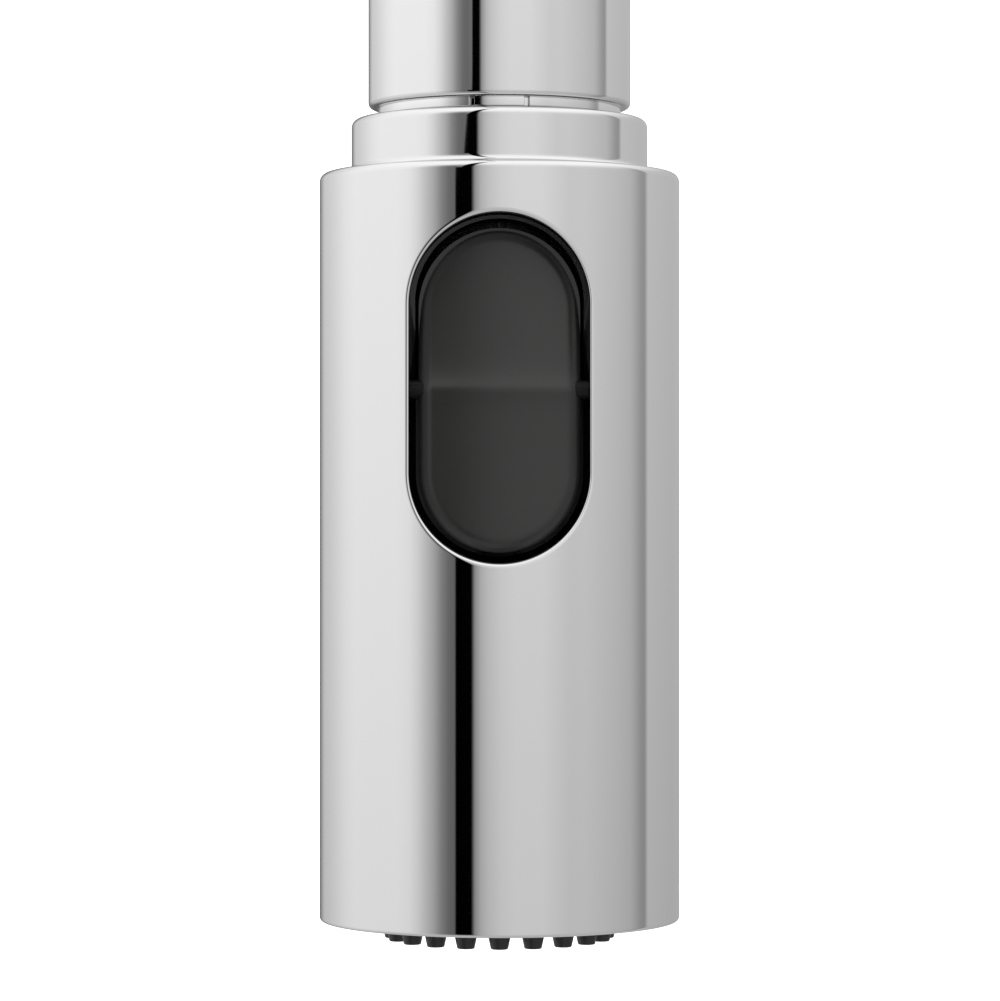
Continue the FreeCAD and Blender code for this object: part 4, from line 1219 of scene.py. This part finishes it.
# ------------------------------------------------------------------ body
@dataclass
class Body:
    """The chrome body with its side hub, and the rings under and over it. Sizes are in millimetres."""

    shop: Workshop
    wall: float = 2.0
    hub_wall: float = 4.5
    hub_join: float = 2.0
    hub_sector: float = 88.0
    rim_round: float = 0.25

    def __post_init__(self) -> None:
        """Takes the body's sizes from its CAD nodes."""
        lo, hi = box_mm("body_shell")
        self.radius = (hi[1] - lo[1]) / 2
        self.low, self.high, self.hub_end = lo[2], hi[2], hi[0]
        cap_lo, cap_hi = box_mm("handle_cap")
        self.hub_radius = (cap_hi[1] - cap_lo[1]) / 2
        self.hub_z = (cap_lo[2] + cap_hi[2]) / 2

    def casting(self) -> None:
        """Builds the column and its hub as one solid: the hub leaves the column's skin in a rounded join."""
        r, inner = self.radius, self.radius - self.wall
        big, bore = 2 * self.hub_radius, 2 * (self.hub_radius - self.hub_wall)
        end, soft = self.hub_end, 1.0
        spans = [(big, r + 2.3), (big, end - soft - 0.1)]
        for turn in np.linspace(0, np.pi / 2, 9):
            spans.append((big - 2 * soft * (1 - math.cos(turn)), end - soft + soft * math.sin(turn)))
        spans += [(big - 2 * soft - 0.1, end), (bore + 0.6, end), (bore + 0.3, end - 0.06)]
        spans += [(bore, end - 0.3), (bore, r)]
        throat = [(span, span, depth) for span, depth in spans]
        low, high = self.low + 1.0, self.high - 1.0
        sector = math.radians(self.hub_sector)
        # a hair of extra height keeps the round outline's straight sides from vanishing
        full, wide = (big, big + 0.001), (bore, bore + 0.001)
        port = SidePort(
            r, inner, *full, *wide, self.hub_z, sector, low, high, self.hub_join, 1, throat, 90, 110
        )
        edge, top, foot = self.rim_round, self.high, self.low
        above = Outline.rounded([(r, high), (r, top, edge), (inner, top, edge), (inner, high)], closed=False)
        below = Outline.rounded([(inner, low), (inner, foot, edge), (r, foot, edge), (r, low)], closed=False)
        to_x = np.array([[0.0, 1.0, 0.0], [-1.0, 0.0, 0.0], [0.0, 0.0, 1.0]])
        piece = port.build(above, below).moved(to_x).object("body_casting_chrome")
        self.shop.deliver(piece, "body_shell")

    def rings(self) -> None:
        """Turns the ring under the body and the ring over it."""
        for node, bore, soft in (
            ("base_ring", 17.5, (0.2, 0.6, 1.6, 0.2)),
            ("body_top_ring", 17.8, (0.2, 0.3, 2.2, 0.5)),
        ):
            lo, hi = box_mm(node)
            r = (hi[0] - lo[0]) / 2
            corners = [(bore, lo[2]), (r, lo[2]), (r, hi[2]), (bore, hi[2])]
            ring = Outline.rounded([(*corner, turn) for corner, turn in zip(corners, soft)])
            self.shop.deliver(ring.turned(192).object(node + "_chrome"), node)

    def build(self) -> None:
        """Makes the body's pieces."""
        self.casting()
        self.rings()


# ------------------------------------------------------------------ hose
@dataclass
class Hose:
    """The braided hose's straight run, which stretches as the head is pulled down.

    Sizes are in millimetres.
    """

    shop: Workshop
    radius: float = 6.0
    bore: float = 4.0

    def straight_run(self) -> None:
        """Turns the run between spout and hose end, with many rings so that it stretches evenly."""
        lo, hi = box_mm("hose_drop")
        axis = (lo + hi) / 2
        rings = 160
        z = np.linspace(lo[2], hi[2], rings)
        outer = np.stack([np.full_like(z, self.radius), z], -1)
        inner = np.stack([np.full_like(z, self.bore), z[::-1]], -1)
        loop = np.concatenate([outer, inner, outer[:1]])
        out = np.concatenate([np.tile([1.0, 0], (rings, 1)), np.tile([-1.0, 0], (rings, 1)), [[1.0, 0]]])
        skin = Outline(loop * MM, out).turned(72).moved(UPRIGHT, (axis[0] * MM, axis[1] * MM, 0))
        piece = skin.object("hose_run_braided")
        centre = (axis[0] * MM, axis[1] * MM, 0.0)
        cloth = self.shop.wardrobe.finish["hose_braid"].material(centre, "_run")
        self.shop.deliver(piece, "hose_drop", cloth, ride=False)
        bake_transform(piece)

    def build(self) -> None:
        """Makes the hose's pieces."""
        self.straight_run()


# ------------------------------------------------------------------ the rest of the nodes
def smooth_copies(shop: Workshop) -> None:
    """Gives every node that has no piece of its own a welded copy, smooth but for its real edges.

    Args:
        shop: the workshop, which knows what is done already.
    """
    for node, source in shop.frame["nodes"].items():
        if node in shop.done:
            continue
        mesh = source.data.copy()
        mesh.name = node + "_finished"
        work = bmesh.new()
        work.from_mesh(mesh)
        bmesh.ops.remove_doubles(work, verts=work.verts, dist=2e-6)
        work.to_mesh(mesh)
        work.free()
        mesh.shade_smooth()
        mesh.set_sharp_from_angle(angle=math.radians(32))
        piece = placed(node + "_finished", mesh)
        material = None
        if shop.slot_of(node) == "hose_braid":
            lo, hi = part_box(node)
            radius = min(hi[0] - lo[0], hi[1] - lo[1]) / 2
            centre = (lo[0] + radius, (lo[1] + hi[1]) / 2, 0.0)
            material = shop.wardrobe.finish["hose_braid"].material(centre, "_" + node)
        shop.deliver(piece, node, material)


# ------------------------------------------------------------------ studio
@dataclass
class Studio:
    """The white studio: a tent of soft light with one black flag, a pale floor and the camera.

    Attributes:
        distance: from the spray head's axis to the lens, in metres.
        eye: height of the lens above the head's lower rim, in metres.
        lens: focal length in millimetres.
        backdrop: brightness of the white that the lens itself sees.
        chrome_albedo: share of the tent's light that bright chrome gives back.
        peak: brightest level that the tent's ramp holds.
        roof: brightness straight above.
        underside: brightness straight below.
        floor_side: half the floor's width, in metres.
    """

    distance: float = 0.5261
    eye: float = 0.0539
    lens: float = 141.6
    backdrop: float = 1.6
    chrome_albedo: float = 0.575
    peak: float = 1.5
    roof: float = 1.45
    underside: float = 0.85
    floor_side: float = 9.0

    # display grey round the horizon of what bright chrome shows, by degrees from straight behind the lens
    TENT = (
        (-180, 80), (-164, 110), (-150, 180), (-141, 189), (-127, 206), (-116, 219), (-105, 226),
        (-68, 226), (-59, 221), (-53, 207), (-48, 187), (-42, 162), (-37, 127), (-32, 101), (-28, 95),
        (-17, 115), (-14, 150), (-11.5, 172), (-7, 187), (1, 200), (10, 206), (27, 206), (45, 193),
        (56, 193), (80, 181), (92, 172), (102, 142), (106, 138), (109, 181), (126, 175), (159, 158),
        (180, 120),
    )

    def tent(self) -> None:
        """Lights the scene from the world: brightness by direction round the horizon, and one black flag."""
        world = bpy.data.worlds.new("studio_tent")
        bpy.context.scene.world = world
        world.use_nodes = True
        tree = world.node_tree
        tree.nodes.clear()
        way = add_node(tree, "TexCoord").outputs["Generated"]
        part = add_node(tree, "SeparateXYZ", links={0: way})
        back = add_node(tree, "Math", {"operation": "MULTIPLY", 1: -1.0}, {0: part.outputs[1]}).outputs[0]
        azimuth = add_node(tree, "Math", {"operation": "ARCTAN2"}, {0: part.outputs[0], 1: back}).outputs[0]
        degrees = add_node(tree, "Math", {"operation": "MULTIPLY", 1: 180 / math.pi}, {0: azimuth}).outputs[0]
        turn = {"From Min": -180.0, "From Max": 180.0}
        share = add_node(tree, "MapRange", turn, {"Value": degrees}).outputs[0]
        ramp = add_node(tree, "ValToRGB", links={"Fac": share})
        points = ramp.color_ramp.elements
        while len(points) > 1:
            points.remove(points[-1])
        peak = self.peak
        for i, (angle, grey) in enumerate(self.TENT):
            spot = points[0] if i == 0 else points.new((angle + 180) / 360)
            spot.position = (angle + 180) / 360
            light = linear("#%02x%02x%02x" % (grey, grey, grey))[0] / (self.chrome_albedo * peak)
            spot.color = (light, light, light, 1.0)
        height = add_node(tree, "Math", {"operation": "ARCSINE"}, {0: part.outputs[2]}).outputs[0]
        lift = add_node(tree, "Math", {"operation": "MULTIPLY", 1: 180 / math.pi}, {0: height}).outputs[0]
        up, smooth = {"Value": lift}, {"interpolation_type": "SMOOTHSTEP"}
        # the flag is a tall black strip whose left edge steps in near its top
        edge = {"From Min": 4.9, "From Max": 6.4, "To Min": -28.4, "To Max": -24.2}
        step = add_node(tree, "MapRange", smooth | edge, up).outputs[0]
        past_left = add_node(tree, "Math", {"operation": "SUBTRACT"}, {0: degrees, 1: step}).outputs[0]
        enter = add_node(tree, "MapRange", {"From Min": 0.0, "From Max": 1.1}, {"Value": past_left}).outputs[0]
        right = {"From Min": -15.4, "From Max": -17.6}
        leave = add_node(tree, "MapRange", right, {"Value": degrees}).outputs[0]
        flag = add_node(tree, "Math", {"operation": "MULTIPLY"}, {0: enter, 1: leave}).outputs[0]
        foot = {"From Min": -40.0, "From Max": -14.0}
        fade = add_node(tree, "MapRange", smooth | foot, up).outputs[0]
        flag = add_node(tree, "Math", {"operation": "MULTIPLY"}, {0: flag, 1: fade}).outputs[0]
        dark = add_node(tree, "Math", {"operation": "MULTIPLY_ADD", 1: -0.997, 2: 1.0}, {0: flag}).outputs[0]
        # brighter upwards across the lens's own height, an even bright roof, and a floor a little darker
        rise = {"From Min": -8.0, "From Max": 8.0, "To Min": 0.87, "To Max": 1.1}
        gain = add_node(tree, "MapRange", rise, up).outputs[0]
        high = {"From Min": 15.0, "From Max": 60.0}
        roof = add_node(tree, "MapRange", smooth | high, up).outputs[0]
        bright = {"Color2": (self.roof / peak,) * 3 + (1.0,)}
        walls = add_node(tree, "MixRGB", bright, {"Fac": roof, "Color1": ramp.outputs[0]}).outputs[0]
        low = {"From Min": -12.0, "From Max": -60.0}
        under = add_node(tree, "MapRange", smooth | low, up).outputs[0]
        dim = {"Color2": (self.underside / peak,) * 3 + (1.0,)}
        walls = add_node(tree, "MixRGB", dim, {"Fac": under, "Color1": walls}).outputs[0]
        gain = add_node(tree, "Math", {"operation": "MULTIPLY"}, {0: gain, 1: dark}).outputs[0]
        times = {"blend_type": "MULTIPLY", "Fac": 1.0}
        lit = add_node(tree, "MixRGB", times, {"Color1": walls, "Color2": gain}).outputs[0]
        glow = add_node(tree, "Background", {"Strength": peak}, {"Color": lit}).outputs[0]
        even = {"Color": (1.0, 1.0, 1.0, 1.0), "Strength": self.backdrop}
        white = add_node(tree, "Background", even).outputs[0]
        seen = add_node(tree, "LightPath").outputs["Is Camera Ray"]
        mixed = add_node(tree, "MixShader", links={0: seen, 1: glow, 2: white}).outputs[0]
        add_node(tree, "OutputWorld", links={"Surface": mixed})

    def floor(self, pull: float) -> None:
        """Lays a wide pale floor under the lowest place that the head hangs to; the chrome sees only the tent.

        Args:
            pull: how far down the head pulls, in metres.
        """
        low = min(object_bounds()[0][2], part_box("nozzle_mat")[0][2] - pull) - 0.002
        mesh = bpy.data.meshes.new("studio_floor")
        side = self.floor_side
        corners = [(-side, -side, low), (side, -side, low), (side, side, low), (-side, side, low)]
        mesh.from_pydata(corners, [], [(0, 1, 2, 3)])
        piece = placed("studio_floor", mesh)
        paint = Finish("matt_white_paint", "", "#f4f4f3", MOULDED, 0.0, 0.7, 0.05, 2.0, 0.02, mottle=0.01)
        mesh.materials.append(paint.material())
        piece.visible_glossy = False
        piece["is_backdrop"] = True

    def lamp(
        self, name: str, place: Sequence[float], target: Sequence[float], size: float, watts: float
    ) -> None:
        """Hangs one soft square lamp that neither the lens nor the chrome sees.

        Args:
            name: the lamp's name.
            place: where it hangs, in metres.
            target: where it points, in metres.
            size: its side, in metres.
            watts: its power.
        """
        light = bpy.data.lights.new(name, "AREA")
        light.size, light.energy = size, watts
        made = placed(name, light)
        made.location = place
        made.rotation_euler = (Vector(target) - Vector(place)).to_track_quat("-Z", "Y").to_euler()
        made.visible_camera = False
        made.visible_glossy = False

    def camera(self) -> None:
        """Sets the lens level with the head, straight in front of it; the far side of the set is cut off."""
        lo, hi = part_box("head_shell")
        data = bpy.data.cameras.new("lens")
        data.lens, data.sensor_width, data.sensor_fit = self.lens, 36.0, "AUTO"
        data.shift_x, data.shift_y = 0.00055, 0.01538
        data.clip_start, data.clip_end = 0.05, 0.62
        made = placed("lens", data)
        made.location = ((lo[0] + hi[0]) / 2, (lo[1] + hi[1]) / 2 - self.distance, lo[2] + self.eye)
        made.rotation_euler = (math.pi / 2, 0, 0)
        bpy.context.scene.camera = made
        bpy.context.scene.view_settings.view_transform = "Standard"

    def build(self, joints: Sequence[dict]) -> None:
        """Makes the light, the floor and the camera.

        Args:
            joints: the record's joints, which say how far the head pulls down.
        """
        self.tent()
        self.floor(next(joint["range_m"][1] for joint in joints if joint["name"] == "hose_pull"))
        self.lamp("top_softbox", (0.5, -1.2, 1.6), (0, -0.2, 0.25), 1.2, 14.0)
        self.camera()


def main() -> None:
    logging.basicConfig(level=logging.INFO, format="%(name)s %(message)s")
    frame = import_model()
    shop = Workshop(frame)
    SprayHead(shop).build()
    Spout(shop).build()
    Body(shop).build()
    Hose(shop).build()
    smooth_copies(shop)
    Studio().build(frame["joints"])


if __name__ == "__main__":
    main()
